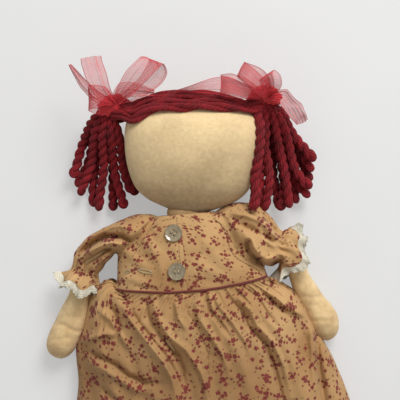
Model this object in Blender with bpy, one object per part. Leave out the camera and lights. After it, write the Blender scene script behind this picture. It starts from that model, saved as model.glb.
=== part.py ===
"""Rag doll lying on its back, in metres: +Y is towards the head and +Z towards the face.

The origin lies on the flat back of the skirt, on the doll's centre line. Left and right are the
doll's own, so its left is +X.
"""

import math

import bmesh
import bpy
from mathutils import Matrix, Vector
from mathutils.bvhtree import BVHTree

# Clearances and cloth
SEAM_GAP = 0.0003
CLOTH = 0.0010
REST_CUT = 0.0005
ROUND = 2.0
STUFFED = 2.3

# Torso and neck
TORSO_HALF_WIDTH = 0.050
TORSO_HALF_DEPTH = 0.0205
TORSO_MIDDLE_Z = 0.0245
NECK_Y = 0.130
NECK_HALF_WIDTH = 0.015
NECK_RADIUS = 0.009
HIP_SEAM_Y = -0.004
HIP_SEAM_Z = 0.019
HIP_SEAM_HALF_DEPTH = 0.0012
TORSO_SIDES = 20
# Each row: share of the way from hip seam to neck, of half width, of half depth, of rise to middle
TORSO_SHARES = (
    (0.10, 0.92, 0.44, 0.30),
    (0.22, 0.99, 0.84, 0.75),
    (0.38, 1.00, 1.00, 1.00),
    (0.56, 0.93, 0.96, 1.00),
    (0.70, 0.86, 0.98, 1.00),
    (0.80, 0.82, 0.90, 1.00),
    (0.87, 0.75, 0.76, 1.00),
    (0.92, 0.48, 0.57, 1.00),
    (0.955, 0.285, 0.43, 1.00),
)

# Head
HEAD_HEIGHT = 0.089
HEAD_HALF_WIDTH = 0.0525
HEAD_HALF_DEPTH = 0.029
HEAD_LEAN = math.radians(-7)
HEAD_SHIFT = 0.0038
HEAD_SIDES = 24
# Each row: share of height, of half width, of half depth
HEAD_SHARES = (
    (0.010, 0.24, 0.07),
    (0.045, 0.46, 0.24),
    (0.10, 0.66, 0.45),
    (0.20, 0.82, 0.71),
    (0.38, 0.94, 0.94),
    (0.58, 1.00, 1.00),
    (0.76, 0.96, 0.90),
    (0.88, 0.80, 0.68),
    (0.95, 0.56, 0.46),
    (0.99, 0.26, 0.22),
)

# Arms
SHOULDER_X = 0.0463
SHOULDER_Y = 0.110
SHOULDER_Z = 0.0235
ARM_ROOT_RADIUS = 0.0095
ARM_HALF_DEPTH = 0.0085
HAND_HALF_DEPTH = 0.0118
ARM_SIDES = 12
ARM_LENGTH = 0.100
# Each row: X, Y and heading of the limb's centre line, then half width, as shares of the arm's length
ARM_LEFT_SHARES = (
    (0.58, 1.085, -8, 0.086),
    (0.69, 1.010, -42, 0.081),
    (0.765, 0.895, -62, 0.079),
    (0.814, 0.800, -72, 0.077),
    (0.838, 0.700, -68, 0.079),
    (0.890, 0.565, -62, 0.096),
    (0.930, 0.480, -60, 0.106),
    (0.962, 0.425, -60, 0.112),
    (0.998, 0.345, -68, 0.116),
    (1.010, 0.265, -82, 0.092),
    (1.013, 0.215, -86, 0.050),
)
ARM_RIGHT_SHARES = (
    (-0.58, 1.105, -168, 0.086),
    (-0.705, 1.040, -140, 0.081),
    (-0.795, 0.930, -122, 0.079),
    (-0.850, 0.810, -112, 0.079),
    (-0.888, 0.710, -110, 0.083),
    (-0.940, 0.585, -112, 0.108),
    (-0.975, 0.500, -112, 0.128),
    (-1.030, 0.430, -105, 0.116),
    (-1.055, 0.360, -98, 0.120),
    (-1.070, 0.300, -94, 0.096),
    (-1.073, 0.255, -92, 0.052),
)
# Share of the way from shoulder height down to the resting hand, and of arm to hand depth
ARM_DROP_SHARES = (0.10, 0.25, 0.45, 0.62, 0.78, 0.92, 0.97, 1.00, 1.00, 1.00, 1.00)
ARM_DEPTH_SHARES = (0.90, 0.92, 0.94, 0.96, 1.00, 0.92, 0.90, 0.96, 1.00, 0.80, 0.42)

# Legs
LEG_LENGTH = 0.226
LEG_X = 0.024
LEG_HALF_WIDTH = 0.0175
LEG_HALF_DEPTH = 0.0172
LEG_EDGE_RADIUS = 0.0012
LEG_SIDES = 14
# Each row: share of length from the hip, of half width, of half depth, of height above the back
LEG_SHARES = (
    (0.025, 1.00, 0.10, 1.00),
    (0.060, 0.98, 0.46, 1.00),
    (0.140, 1.00, 0.86, 1.00),
    (0.300, 1.00, 1.00, 1.00),
    (0.460, 0.94, 0.95, 0.97),
    (0.560, 0.90, 0.90, 0.94),
    (0.700, 0.84, 0.84, 0.90),
    (0.840, 0.70, 0.70, 0.80),
    (0.900, 0.72, 0.74, 0.72),
    (0.940, 0.78, 1.06, 0.94),
    (0.975, 0.76, 1.12, 1.00),
    (0.995, 0.56, 0.86, 1.00),
)

# Bodice
WAIST_Y = 0.071
WAIST_EASE = 0.0098
NECKLINE_Y = 0.1225
BACK_NECKLINE_Y = 0.1265
PLACKET_X = -0.004
PLACKET_LAP = 0.014
DRESS_EASE = 0.0009
PANEL_COLUMNS = 11
BACK_COLUMNS = 16
# Each row: share of the way from waist to neckline, of the ease at the waist
EASE_SHARES = ((0.0, 1.0), (0.18, 0.86), (0.36, 0.36), (0.5, 0.08), (0.6, 0.0), (1.0, 0.0))

# Buttons
BUTTON_RADIUS = 0.0065
BUTTON_THICKNESS = 0.0021
BUTTON_RIM = 0.0013
BUTTON_DISH = 0.0007
BUTTON_HOLE_RADIUS = 0.0008
BUTTON_HOLE_SPACING = 0.0026
BUTTON_INSET = 0.0063
BUTTON_UPPER_Y = 0.1145
BUTTON_LOWER_Y = 0.086
BUTTON_SIDES = 20
HOLE_SIDES = 6
OVERRUN = 0.002

# Sleeves and their lace
SLEEVE_SIDES = 28
SLEEVE_PLEATS = 7
SLEEVE_Z = 0.0235
CUFF_Z = 0.0180
LACE_LENGTH = 0.0058
LACE_FLARE = 0.0016
LACE_SCALLOP = 0.0012
LACE_LEFT_HEADING = -58
LACE_RIGHT_HEADING = 248
# Each row: X, Y, heading, half width and half depth, as shares of the arm's length, then share of the
# drop to the cuff, and pleat depth as a share of the width
SLEEVE_LEFT_SHARES = (
    (0.410, 1.030, 36, 0.300, 0.222, 0.00, 0.02),
    (0.495, 1.085, 14, 0.262, 0.205, 0.00, 0.02),
    (0.585, 1.080, -14, 0.205, 0.180, 0.25, 0.03),
    (0.650, 1.030, -34, 0.150, 0.145, 0.60, 0.04),
    (0.700, 0.990, -38, 0.104, 0.108, 0.60, 0.02),
    (0.745, 0.945, -34, 0.140, 0.128, 0.80, 0.06),
    (0.785, 0.905, -28, 0.178, 0.148, 1.00, 0.07),
)
SLEEVE_RIGHT_SHARES = (
    (-0.400, 1.085, 133, 0.245, 0.215, 0.00, 0.02),
    (-0.505, 1.135, 165, 0.182, 0.185, 0.00, 0.02),
    (-0.620, 1.110, 192, 0.148, 0.165, 0.30, 0.03),
    (-0.720, 1.025, 220, 0.134, 0.150, 0.75, 0.04),
    (-0.790, 0.938, 236, 0.104, 0.108, 1.00, 0.02),
    (-0.818, 0.895, 240, 0.130, 0.122, 1.00, 0.06),
    (-0.842, 0.850, 243, 0.166, 0.140, 1.00, 0.07),
)

# Skirt and piping
SKIRT_LENGTH = 0.194
SKIRT_TOP_HALF_WIDTH = 0.0565
SKIRT_HEM_HALF_WIDTH = 0.117
SKIRT_TOP_HEIGHT = 0.0485
SKIRT_EDGE_HEIGHT = 0.0075
SKIRT_FOLD = 0.0032
SKIRT_FOLD_WIDTH_SHARE = 0.05
SKIRT_DRIFT = 0.005
SKIRT_TOP_COLUMNS = 56
SKIRT_BACK_COLUMNS = 9
PIPING_RADIUS = 0.0015
PIPING_SIDES = 6
SKIRT_TOP_Y = WAIST_Y - PIPING_RADIUS - SEAM_GAP
# Each row: share of length, of the way to hem half width, of height, of edge height, of fold, of drift
SKIRT_SHARES = (
    (0.00, 0.00, 0.99, 2.10, 0.10, 0.00),
    (0.03, 0.16, 1.00, 1.70, 0.35, 0.00),
    (0.09, 0.35, 1.01, 1.25, 0.50, 0.00),
    (0.17, 0.48, 1.00, 1.00, 0.60, 0.00),
    (0.26, 0.61, 0.97, 0.95, 0.70, 0.15),
    (0.38, 0.72, 0.93, 0.90, 0.80, 0.70),
    (0.56, 0.88, 0.90, 0.90, 0.90, 1.00),
    (0.78, 0.95, 0.88, 0.90, 1.00, 1.00),
    (1.00, 1.00, 0.88, 0.95, 1.20, 1.00),
)
# The main folds from the doll's right to its left: how far each rises or sinks, as a share of a fold
SKIRT_FOLD_RISE_SHARES = (-0.9, 0.9, -0.8, 1.0, -0.8, -0.7, 0.9, -0.9, 1.0, -0.9, 0.8)
# Each row: share of length, then where each fold lies, in half widths from the middle
SKIRT_FOLD_SHARES = (
    (0.00, -1.00, -0.97, -0.93, -0.90, -0.62, -0.09, 0.14, 0.42, 0.60, 0.73, 0.88),
    (0.12, -0.94, -0.87, -0.69, -0.53, -0.37, 0.00, 0.22, 0.46, 0.62, 0.76, 0.92),
    (0.26, -0.91, -0.74, -0.52, -0.28, -0.15, 0.08, 0.31, 0.56, 0.69, 0.84, 0.94),
    (0.56, -0.85, -0.63, -0.43, -0.20, -0.10, 0.03, 0.30, 0.51, 0.66, 0.78, 0.89),
    (1.00, -0.85, -0.68, -0.45, -0.27, -0.09, 0.06, 0.32, 0.52, 0.71, 0.81, 0.91),
)

# Hair
YARN_RADIUS = 0.0032
YARN_SIDES = 6
YARN_RINGS = 8
YARN_END_SHARE = 0.6
TIE_LEFT_X = 0.0680
TIE_LEFT_Y = 0.2100
TIE_RIGHT_X = -0.0500
TIE_RIGHT_Y = 0.2130
TIE_Z = 0.0300
TIE_LEFT = Vector((TIE_LEFT_X, TIE_LEFT_Y, TIE_Z))
TIE_RIGHT = Vector((TIE_RIGHT_X, TIE_RIGHT_Y, TIE_Z))
KNOT_RADIUS = 0.0075
KNOT_HALF_HEIGHT = 0.0145
KNOT_SIDES = 12
KNOT_SHARES = ((-1.0, 0.5), (-0.8, 0.88), (-0.45, 1.0), (0.45, 1.0), (0.8, 0.88), (1.0, 0.5))
CROWN_STRANDS = 8
CROWN_STATIONS = 9
CROWN_RINGS = 15
CROWN_FRONT = math.radians(48)
CROWN_BACK = math.radians(119)
CROWN_TIE_RADIUS = 0.0066
CROWN_TIE_SPREAD = math.radians(230)
PIGTAIL_LENGTH = 0.082
LAYER_STEP = 0.0070
LOWEST_STRAND_Z = 0.0051
# Each layer: share of knot height, then its strands: headings in degrees where each leaves the tie and
# where it ends, and its length as a share of the pigtail's
PIGTAIL_LEFT_SHARES = (
    (0.50, ((-10, -56, 0.68), (-30, -66, 0.86), (-50, -77, 0.98), (-68, -87, 0.98), (-86, -97, 0.94))),
    (0.00, ((-14, -60, 0.78), (-36, -72, 0.95), (-58, -84, 1.00), (-80, -95, 0.97))),
    (-0.50, ((-18, -63, 0.74), (-40, -74, 0.92), (-60, -84, 0.96), (-82, -94, 0.92))),
)
PIGTAIL_RIGHT_SHARES = (
    (
        0.36,
        ((-172, -127, 0.72), (-150, -116, 0.86), (-128, -105, 0.93), (-104, -93, 0.90), (-80, -79, 0.80)),
    ),
    (-0.36, ((-164, -121, 0.80), (-140, -110, 0.90), (-116, -99, 0.92), (-92, -86, 0.84))),
)

# Bows
BOW_LENGTH = 0.0660
BOW_HALF_WIDTH = 0.0125
BOW_RISE = 0.0110
LOOP_HALF_DEPTH = 0.0042
TAIL_HALF_DEPTH = 0.0008
LOBE_SIDES = 8
# Height of the first lobe's root as a share of the knot's half height, and the step to the next
LOBE_LEVEL_SHARE = 0.86
LOBE_STEP_SHARE = 0.03
# How far off the knot's axis each lobe starts, as a share of the knot's radius
LOBE_ROOT_SHARE = 0.40
# Each row: share of the lobe's length, of its half width, of its half depth
LOOP_SHARES = (
    (0.0, 0.30, 0.55),
    (0.25, 0.55, 0.85),
    (0.6, 1.0, 1.0),
    (0.88, 0.92, 0.70),
    (1.0, 0.60, 0.25),
)
TAIL_SHARES = ((0.0, 0.40, 1.0), (0.35, 0.70, 1.0), (0.75, 0.95, 1.0), (1.0, 1.0, 1.0))
# Each lobe: kind, heading in degrees, share of the bow's length, of its half width, of its rise
BOW_LEFT_SHARES = (
    ("loop", 92, 0.44, 1.00, 0.80),
    ("tail", 166, 1.00, 0.48, 1.20),
    ("loop", 330, 0.515, 0.68, 0.55),
)
BOW_RIGHT_SHARES = (
    ("loop", 38, 0.727, 1.00, 1.00),
    ("tail", 108, 0.606, 0.60, 0.60),
    ("tail", 133, 0.545, 0.48, 0.30),
    ("loop", 165, 0.318, 0.80, 0.50),
)

# Colours as red, green and blue, then roughness
MUSLIN = ((0.80, 0.58, 0.34), 0.9)
CALICO = ((0.62, 0.38, 0.19), 0.9)
YARN = ((0.30, 0.010, 0.030), 0.85)
TULLE = ((0.62, 0.06, 0.08), 0.6)
LACE = ((0.86, 0.80, 0.62), 0.9)
TRIM = ((0.20, 0.05, 0.04), 0.8)
SHELL_BUTTON = ((0.42, 0.36, 0.27), 0.35)


def clear_scene():
    for obj in list(bpy.data.objects):
        bpy.data.objects.remove(obj, do_unlink=True)


def material(name, look):
    made = bpy.data.materials.get(name)
    if made:
        return made
    colour, roughness = look
    made = bpy.data.materials.new(name)
    made.use_nodes = True
    shader = made.node_tree.nodes["Principled BSDF"]
    shader.inputs["Base Color"].default_value = (*colour, 1)
    shader.inputs["Roughness"].default_value = roughness
    shader.inputs["Metallic"].default_value = 0
    return made


def pivot(name, position, parent=None):
    """An empty on a joint's axis, which carries the pieces that turn there."""
    empty = bpy.data.objects.new(name, None)
    bpy.context.scene.collection.objects.link(empty)
    empty.parent = parent
    empty.location = position - parent.matrix_world.translation if parent else position
    bpy.context.view_layer.update()
    return empty


def finish(name, bm, look, carrier):
    """Turns a mesh drawn in place into an object that its joint's empty carries."""
    bmesh.ops.recalc_face_normals(bm, faces=bm.faces)
    origin = carrier.matrix_world.translation
    bmesh.ops.translate(bm, vec=-origin, verts=bm.verts)
    mesh = bpy.data.meshes.new(name)
    bm.to_mesh(mesh)
    bm.free()
    mesh.shade_smooth()
    mesh.set_sharp_from_angle(angle=math.radians(40))
    mesh.materials.append(material(*look))
    obj = bpy.data.objects.new(name, mesh)
    bpy.context.scene.collection.objects.link(obj)
    obj.parent = carrier
    return obj


def helper(obj):
    """Marks an object as one that only shapes another."""
    obj.hide_render = True
    obj.display_type = "WIRE"
    return obj


def combine(obj, other, operation):
    change = obj.modifiers.new(other.name, "BOOLEAN")
    change.operation = operation
    change.solver = "EXACT"
    change.object = other


def unit_ring(angle, squareness):
    c, s = math.cos(angle), math.sin(angle)
    power = 2 / squareness
    return math.copysign(abs(c) ** power, c), math.copysign(abs(s) ** power, s)


def oval(centre, across, up, half_width, half_depth, sides, squareness=ROUND):
    """Points round an oval whose plane holds the two given directions."""
    points = []
    for i in range(sides):
        x, y = unit_ring(math.tau * i / sides, squareness)
        points.append(centre + across * (half_width * x) + up * (half_depth * y))
    return points


def bridge(bm, first, second, closed=True):
    count = len(first)
    for i in range(count if closed else count - 1):
        j = (i + 1) % count
        bm.faces.new((first[i], first[j], second[j], second[i]))


def loft(rings):
    """A solid skin through the rings, closed by a face at each end."""
    bm = bmesh.new()
    rows = [[bm.verts.new(p) for p in ring] for ring in rings]
    for first, second in zip(rows, rows[1:]):
        bridge(bm, first, second)
    bm.faces.new(rows[0])
    bm.faces.new(rows[-1])
    return bm


def tube_shell(outer, inner):
    """An open tube with a wall, from matching outer and inner rings."""
    bm = bmesh.new()
    outside = [[bm.verts.new(p) for p in ring] for ring in outer]
    inside = [[bm.verts.new(p) for p in ring] for ring in inner]
    for rows in (outside, inside):
        for first, second in zip(rows, rows[1:]):
            bridge(bm, first, second)
    bridge(bm, outside[0], inside[0])
    bridge(bm, outside[-1], inside[-1])
    return bm


def sheet_shell(outer, inner):
    """A piece of cloth with a wall, from matching outer and inner rows of points."""
    bm = bmesh.new()
    faces_of = []
    for rows in (outer, inner):
        faces_of.append([[bm.verts.new(p) for p in row] for row in rows])
    outside, inside = faces_of
    for rows in faces_of:
        for first, second in zip(rows, rows[1:]):
            bridge(bm, first, second, closed=False)
    for end in (0, -1):
        bridge(bm, outside[end], inside[end], closed=False)
        bridge(bm, [row[end] for row in outside], [row[end] for row in inside], closed=False)
    return bm


def cut_flat(bm):
    """Cuts a stuffed piece flat where it rests on the floor."""
    geometry = list(bm.verts) + list(bm.edges) + list(bm.faces)
    bmesh.ops.bisect_plane(bm, geom=geometry, plane_no=(0, 0, 1), clear_inner=True)
    bmesh.ops.holes_fill(bm, edges=[e for e in bm.edges if e.is_boundary])


def along(table, share):
    """The columns of a table at a share of its first column, on straight runs between the rows."""
    for low, high in zip(table, table[1:]):
        if share <= high[0]:
            part = (share - low[0]) / (high[0] - low[0])
            return [a + (b - a) * max(part, 0) for a, b in zip(low[1:], high[1:])]
    return list(table[-1][1:])


def ease_in(share):
    share = min(max(share, 0), 1)
    return share * share * (3 - 2 * share)


AXIS_X, AXIS_Y, AXIS_Z = Vector((1, 0, 0)), Vector((0, 1, 0)), Vector((0, 0, 1))


def torso_section(y):
    """Half width, half depth and middle height of the torso at a place along it."""
    length = NECK_Y - HIP_SEAM_Y
    seam = (0, 0.84, HIP_SEAM_HALF_DEPTH / TORSO_HALF_DEPTH, 0)
    neck = (1, NECK_HALF_WIDTH / TORSO_HALF_WIDTH, NECK_RADIUS / TORSO_HALF_DEPTH, 1)
    width, depth, rise = along((seam, *TORSO_SHARES, neck), (y - HIP_SEAM_Y) / length)
    middle = HIP_SEAM_Z + (TORSO_MIDDLE_Z - HIP_SEAM_Z) * rise
    return TORSO_HALF_WIDTH * width, TORSO_HALF_DEPTH * depth, middle


def make_torso(body):
    length = NECK_Y - HIP_SEAM_Y
    rings = []
    for share in (0, *[row[0] for row in TORSO_SHARES]):
        y = HIP_SEAM_Y + length * share
        width, depth, middle = torso_section(y)
        form = ROUND if width < TORSO_HALF_WIDTH / 2 else STUFFED
        rings.append(oval(Vector((0, y, middle)), AXIS_X, AXIS_Z, width, depth, TORSO_SIDES, form))
    for step in range(4):
        angle = math.radians(26 * step)
        centre = Vector((0, NECK_Y + NECK_RADIUS * math.sin(angle), TORSO_MIDDLE_Z))
        width = NECK_HALF_WIDTH * math.cos(angle)
        rings.append(oval(centre, AXIS_X, AXIS_Z, width, NECK_RADIUS * math.cos(angle), TORSO_SIDES))
    return finish("torso", loft(rings), ("muslin", MUSLIN), body)


def neck_socket(neck):
    """A helper the shape of the neck's round end with its clearance, which leaves room to nod."""
    bm = bmesh.new()
    bmesh.ops.create_uvsphere(bm, u_segments=TORSO_SIDES, v_segments=TORSO_SIDES // 2, radius=1)
    size = (NECK_HALF_WIDTH + SEAM_GAP, NECK_RADIUS + SEAM_GAP, NECK_RADIUS + SEAM_GAP)
    grow = 1 / math.cos(math.pi / TORSO_SIDES)
    bmesh.ops.transform(bm, matrix=Matrix.Diagonal((*[s * grow for s in size], 1)), verts=bm.verts)
    bmesh.ops.translate(bm, vec=neck.matrix_world.translation, verts=bm.verts)
    return helper(finish("neck_socket_cutter", bm, ("muslin", MUSLIN), neck))


def make_head(neck):
    lean = Matrix.Rotation(HEAD_LEAN, 3, "Z")
    start = Vector((HEAD_SHIFT, NECK_Y, TORSO_MIDDLE_Z))
    rise = HEAD_HALF_DEPTH - REST_CUT - TORSO_MIDDLE_Z
    across, up = lean @ AXIS_X, lean @ AXIS_Y
    rings = []
    for share, width, depth in HEAD_SHARES:
        centre = start + up * (HEAD_HEIGHT * share) + AXIS_Z * (rise * ease_in(share * 4))
        size = (HEAD_HALF_WIDTH * width, HEAD_HALF_DEPTH * depth)
        rings.append(oval(centre, across, AXIS_Z, *size, HEAD_SIDES, STUFFED))
    bm = loft(rings)
    cut_flat(bm)
    head = finish("head", bm, ("muslin", MUSLIN), neck)
    combine(head, neck_socket(neck), "DIFFERENCE")
    return head


def heading_frame(degrees):
    """Directions along, across and up for a limb that heads this way in plan."""
    angle = math.radians(degrees)
    forward = Vector((math.cos(angle), math.sin(angle), 0))
    return forward, AXIS_Z.cross(forward), AXIS_Z


def make_arm(side, shoulder, table):
    sign = 1 if side == "left" else -1
    rest_z = HAND_HALF_DEPTH - REST_CUT
    root = Vector((sign * SHOULDER_X, SHOULDER_Y, SHOULDER_Z))
    rings = [oval(root, AXIS_Y * sign, AXIS_Z, ARM_ROOT_RADIUS, ARM_ROOT_RADIUS, ARM_SIDES)]
    for (x, y, heading, width), drop, depth in zip(table, ARM_DROP_SHARES, ARM_DEPTH_SHARES):
        _, across, up = heading_frame(heading)
        z = SHOULDER_Z + (rest_z - SHOULDER_Z) * drop
        thick = ARM_HALF_DEPTH + (HAND_HALF_DEPTH - ARM_HALF_DEPTH) * drop * drop
        centre = Vector((ARM_LENGTH * x, ARM_LENGTH * y, z))
        rings.append(oval(centre, across, up, ARM_LENGTH * width, thick * depth, ARM_SIDES))
    bm = loft(rings)
    cut_flat(bm)
    return finish(f"arm_{side}", bm, ("muslin", MUSLIN), shoulder)


def make_leg(side, hip):
    sign = 1 if side == "left" else -1
    start = hip.matrix_world.translation.y
    back = HIP_SEAM_Z - LEG_HALF_DEPTH
    rings = []
    for degrees in (75, 35, 0):
        angle = math.radians(degrees)
        centre = Vector((sign * LEG_X, start + LEG_EDGE_RADIUS * math.sin(angle), HIP_SEAM_Z))
        depth = LEG_EDGE_RADIUS * math.cos(angle)
        rings.append(oval(centre, AXIS_X, AXIS_Z, LEG_HALF_WIDTH, depth, LEG_SIDES, STUFFED))
    for share, width, depth, height in LEG_SHARES:
        half_depth = LEG_HALF_DEPTH * depth
        middle = back + LEG_HALF_DEPTH * height
        if half_depth > middle:
            middle = half_depth - REST_CUT
        centre = Vector((sign * LEG_X, start - LEG_LENGTH * share, middle))
        half_width = LEG_HALF_WIDTH * width
        rings.append(oval(centre, AXIS_X, AXIS_Z, half_width, half_depth, LEG_SIDES, STUFFED))
    bm = loft(rings)
    cut_flat(bm)
    return finish(f"leg_{side}", bm, ("muslin", MUSLIN), hip)


def bodice_point(y, angle, lift):
    """A point of the bodice, a given height off the torso."""
    width, depth, middle = torso_section(y)
    share = (y - WAIST_Y) / (NECKLINE_Y - WAIST_Y)
    ease = WAIST_EASE * along(EASE_SHARES, share)[0]
    x, z = unit_ring(angle, STUFFED)
    return Vector(((width + ease + lift) * x, y, middle + (depth + lift) * z))


def angle_at(y, x):
    """The angle round the bodice's front where it passes a given X."""
    width = torso_section(y)[0] + WAIST_EASE * along(
        EASE_SHARES, (y - WAIST_Y) / (NECKLINE_Y - WAIST_Y)
    )[0]
    share = max(min(x / width, 1), -1)
    return math.acos(math.copysign(abs(share) ** (STUFFED / 2), share))


def make_panel(name, start, end, top, layer, columns, body):
    """One panel of the bodice, between two edges that are given as an angle at each height."""
    low = WAIST_Y + PIPING_RADIUS + SEAM_GAP
    inner_lift = SEAM_GAP + DRESS_EASE + layer * (CLOTH + SEAM_GAP)
    places = [HIP_SEAM_Y + (NECK_Y - HIP_SEAM_Y) * row[0] for row in TORSO_SHARES]
    places = [low, *[y for y in places if low + CLOTH < y < top - CLOTH], top]
    grids = []
    for lift in (inner_lift + CLOTH, inner_lift):
        rows = []
        for y in places:
            first, last = start(y), end(y)
            rows.append(
                [bodice_point(y, first + (last - first) * c / columns, lift) for c in range(columns + 1)]
            )
        grids.append(rows)
    return finish(name, sheet_shell(*grids), ("calico", CALICO), body)


def make_bodice(body):
    side_gap = SEAM_GAP / TORSO_HALF_WIDTH * 2

    def lap_edge(y):
        return angle_at(y, PLACKET_X - PLACKET_LAP)

    def placket_edge(y):
        return angle_at(y, PLACKET_X)

    def left_side(_):
        return side_gap

    def right_side(_):
        return math.pi - side_gap

    make_panel("bodice_front_left", left_side, lap_edge, NECKLINE_Y, 0, PANEL_COLUMNS, body)
    top = make_panel("bodice_front_right", placket_edge, right_side, NECKLINE_Y, 1, PANEL_COLUMNS, body)

    def back_start(_):
        return math.pi + side_gap

    def back_end(_):
        return math.tau - side_gap

    make_panel("bodice_back", back_start, back_end, BACK_NECKLINE_Y, 0, BACK_COLUMNS, body)
    return top


def make_button(name, y, panel, body):
    """A dished disc with a rim and four holes, lying on the panel's own slope."""
    bpy.context.view_layer.update()
    surface = BVHTree.FromObject(panel, bpy.context.evaluated_depsgraph_get())
    above = Vector((PLACKET_X - BUTTON_INSET, y, TORSO_MIDDLE_Z + TORSO_HALF_DEPTH * 2))
    spot, normal, _, _ = surface.ray_cast(above, -AXIS_Z)
    profile = (
        (BUTTON_RADIUS - BUTTON_RIM, 0),
        (BUTTON_RADIUS, BUTTON_THICKNESS / 3),
        (BUTTON_RADIUS, BUTTON_THICKNESS * 2 / 3),
        (BUTTON_RADIUS - BUTTON_RIM / 2, BUTTON_THICKNESS),
        (BUTTON_RADIUS - BUTTON_RIM, BUTTON_THICKNESS - BUTTON_DISH),
    )
    turn = normal.to_track_quat("Z", "Y").to_matrix().to_4x4()
    seat = Matrix.Translation(spot + normal * (SEAM_GAP + CLOTH / 8)) @ turn
    rings = [oval(AXIS_Z * h, AXIS_X, AXIS_Y, r, r, BUTTON_SIDES) for r, h in profile]
    bm = loft(rings)
    bmesh.ops.transform(bm, matrix=seat, verts=bm.verts)
    button = finish(name, bm, ("button", SHELL_BUTTON), body)
    for i in range(4):
        angle = math.tau * (i + 0.5) / 4
        reach = BUTTON_HOLE_SPACING / math.sqrt(2)
        centre = Vector((reach * math.cos(angle), reach * math.sin(angle), 0))
        ends = [centre + AXIS_Z * h for h in (-OVERRUN, BUTTON_THICKNESS + OVERRUN)]
        size = (BUTTON_HOLE_RADIUS, BUTTON_HOLE_RADIUS, HOLE_SIDES)
        hole = loft([oval(end, AXIS_X, AXIS_Y, *size) for end in ends])
        bmesh.ops.transform(hole, matrix=seat, verts=hole.verts)
        cutter = helper(finish(f"{name}_hole_{i}", hole, ("button", SHELL_BUTTON), body))
        combine(button, cutter, "DIFFERENCE")


def gathered_ring(centre, heading, half_width, half_depth, pleat, shrink):
    """A ring of gathered cloth round a limb, with its pleats as a share of its size."""
    _, across, up = heading_frame(heading)
    points = []
    for i in range(SLEEVE_SIDES):
        angle = math.tau * i / SLEEVE_SIDES
        x, z = unit_ring(angle, ROUND)
        wave = 1 + pleat * math.cos(SLEEVE_PLEATS * angle)
        wide = half_width * wave - shrink
        deep = half_depth * wave - shrink
        points.append(centre + across * (wide * x) + up * (deep * z))
    return points


def sleeve_stations(table):
    stations = []
    for x, y, heading, width, depth, drop, pleat in table:
        centre = Vector((ARM_LENGTH * x, ARM_LENGTH * y, SLEEVE_Z + (CUFF_Z - SLEEVE_Z) * drop))
        stations.append((centre, heading, ARM_LENGTH * width, ARM_LENGTH * depth, pleat))
    return stations


def make_sleeve(side, shoulder, table, lace_heading):
    stations = sleeve_stations(table)
    outer = [gathered_ring(*station, 0) for station in stations]
    inner = [gathered_ring(*station, CLOTH) for station in stations]
    finish(f"sleeve_{side}", tube_shell(outer, inner), ("calico", CALICO), shoulder)
    centre, heading, half_width, half_depth, pleat = stations[-1]
    forward = heading_frame(lace_heading)[0]
    edges = []
    for shrink in (0, CLOTH):
        rings = []
        for share in (0, 0.55, 1):
            spot = centre + forward * (SEAM_GAP + LACE_LENGTH * share)
            grow = LACE_FLARE * share - shrink
            ring = gathered_ring(spot, heading, half_width + grow, half_depth + grow, pleat, 0)
            if share == 1:
                ring = [p + forward * (LACE_SCALLOP * (-1) ** i) for i, p in enumerate(ring)]
            rings.append(ring)
        edges.append(rings)
    finish(f"cuff_lace_{side}", tube_shell(*edges), ("lace", LACE), shoulder)


def fold_lift(share, across):
    """How far the skirt's folds lift the cloth, in folds, at a place in half widths from the middle."""
    places = along(SKIRT_FOLD_SHARES, share)
    return sum(
        rise * math.exp(-(((across - place) / SKIRT_FOLD_WIDTH_SHARE) ** 2))
        for rise, place in zip(SKIRT_FOLD_RISE_SHARES, places)
    )


def skirt_ring(y, columns, shrink):
    """The skirt's outline across the doll at a place along it: flat back, draped and folded front."""
    share = (SKIRT_TOP_Y - y) / SKIRT_LENGTH
    flare, height, edge, fold, aside = along(SKIRT_SHARES, share)
    half_width = SKIRT_TOP_HALF_WIDTH + (SKIRT_HEM_HALF_WIDTH - SKIRT_TOP_HALF_WIDTH) * flare
    drift = SKIRT_DRIFT * aside
    low = SKIRT_EDGE_HEIGHT * edge
    high = SKIRT_TOP_HEIGHT * height
    points = []
    for i in range(columns + 1):
        angle = math.pi * i / columns
        bump = math.sin(angle) ** 0.9
        lift = SKIRT_FOLD * fold * fold_lift(share, math.cos(angle)) * min(1, 4 * bump)
        wide = half_width - shrink
        x = wide * math.cos(angle) + drift
        points.append(Vector((x, y, low + (high - low) * bump + lift - shrink)))
    for i in range(SKIRT_BACK_COLUMNS):
        across = 1 - 2 * (i + 0.5) / SKIRT_BACK_COLUMNS
        x = -(half_width - shrink) * across * (1 - REST_CUT / half_width) + drift
        points.append(Vector((x, y, shrink)))
    return points


def make_skirt(body):
    places = [SKIRT_TOP_Y - SKIRT_LENGTH * row[0] for row in SKIRT_SHARES]
    outer = [skirt_ring(y, SKIRT_TOP_COLUMNS, 0) for y in places]
    inner = [skirt_ring(y, SKIRT_TOP_COLUMNS, CLOTH) for y in places]
    finish("skirt", tube_shell(outer, inner), ("calico", CALICO), body)


def make_piping(body):
    """A corded seam round the waist, between bodice and skirt."""
    path = skirt_ring(SKIRT_TOP_Y, SKIRT_TOP_COLUMNS, CLOTH / 2)[::2]
    path = [Vector((p.x, WAIST_Y, max(p.z, PIPING_RADIUS))) for p in path]
    count = len(path)
    rows = []
    bm = bmesh.new()
    for i, point in enumerate(path):
        outward = AXIS_Y.cross((path[(i + 1) % count] - path[i - 1]).normalized())
        ring = oval(point, outward, AXIS_Y, PIPING_RADIUS, PIPING_RADIUS, PIPING_SIDES)
        rows.append([bm.verts.new(p) for p in ring])
    for first, second in zip(rows, rows[1:] + rows[:1]):
        bridge(bm, first, second)
    lift = max(0, -min(v.co.z for v in bm.verts))
    bmesh.ops.translate(bm, vec=AXIS_Z * lift, verts=bm.verts)
    finish("waist_piping", bm, ("trim", TRIM), body)


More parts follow.
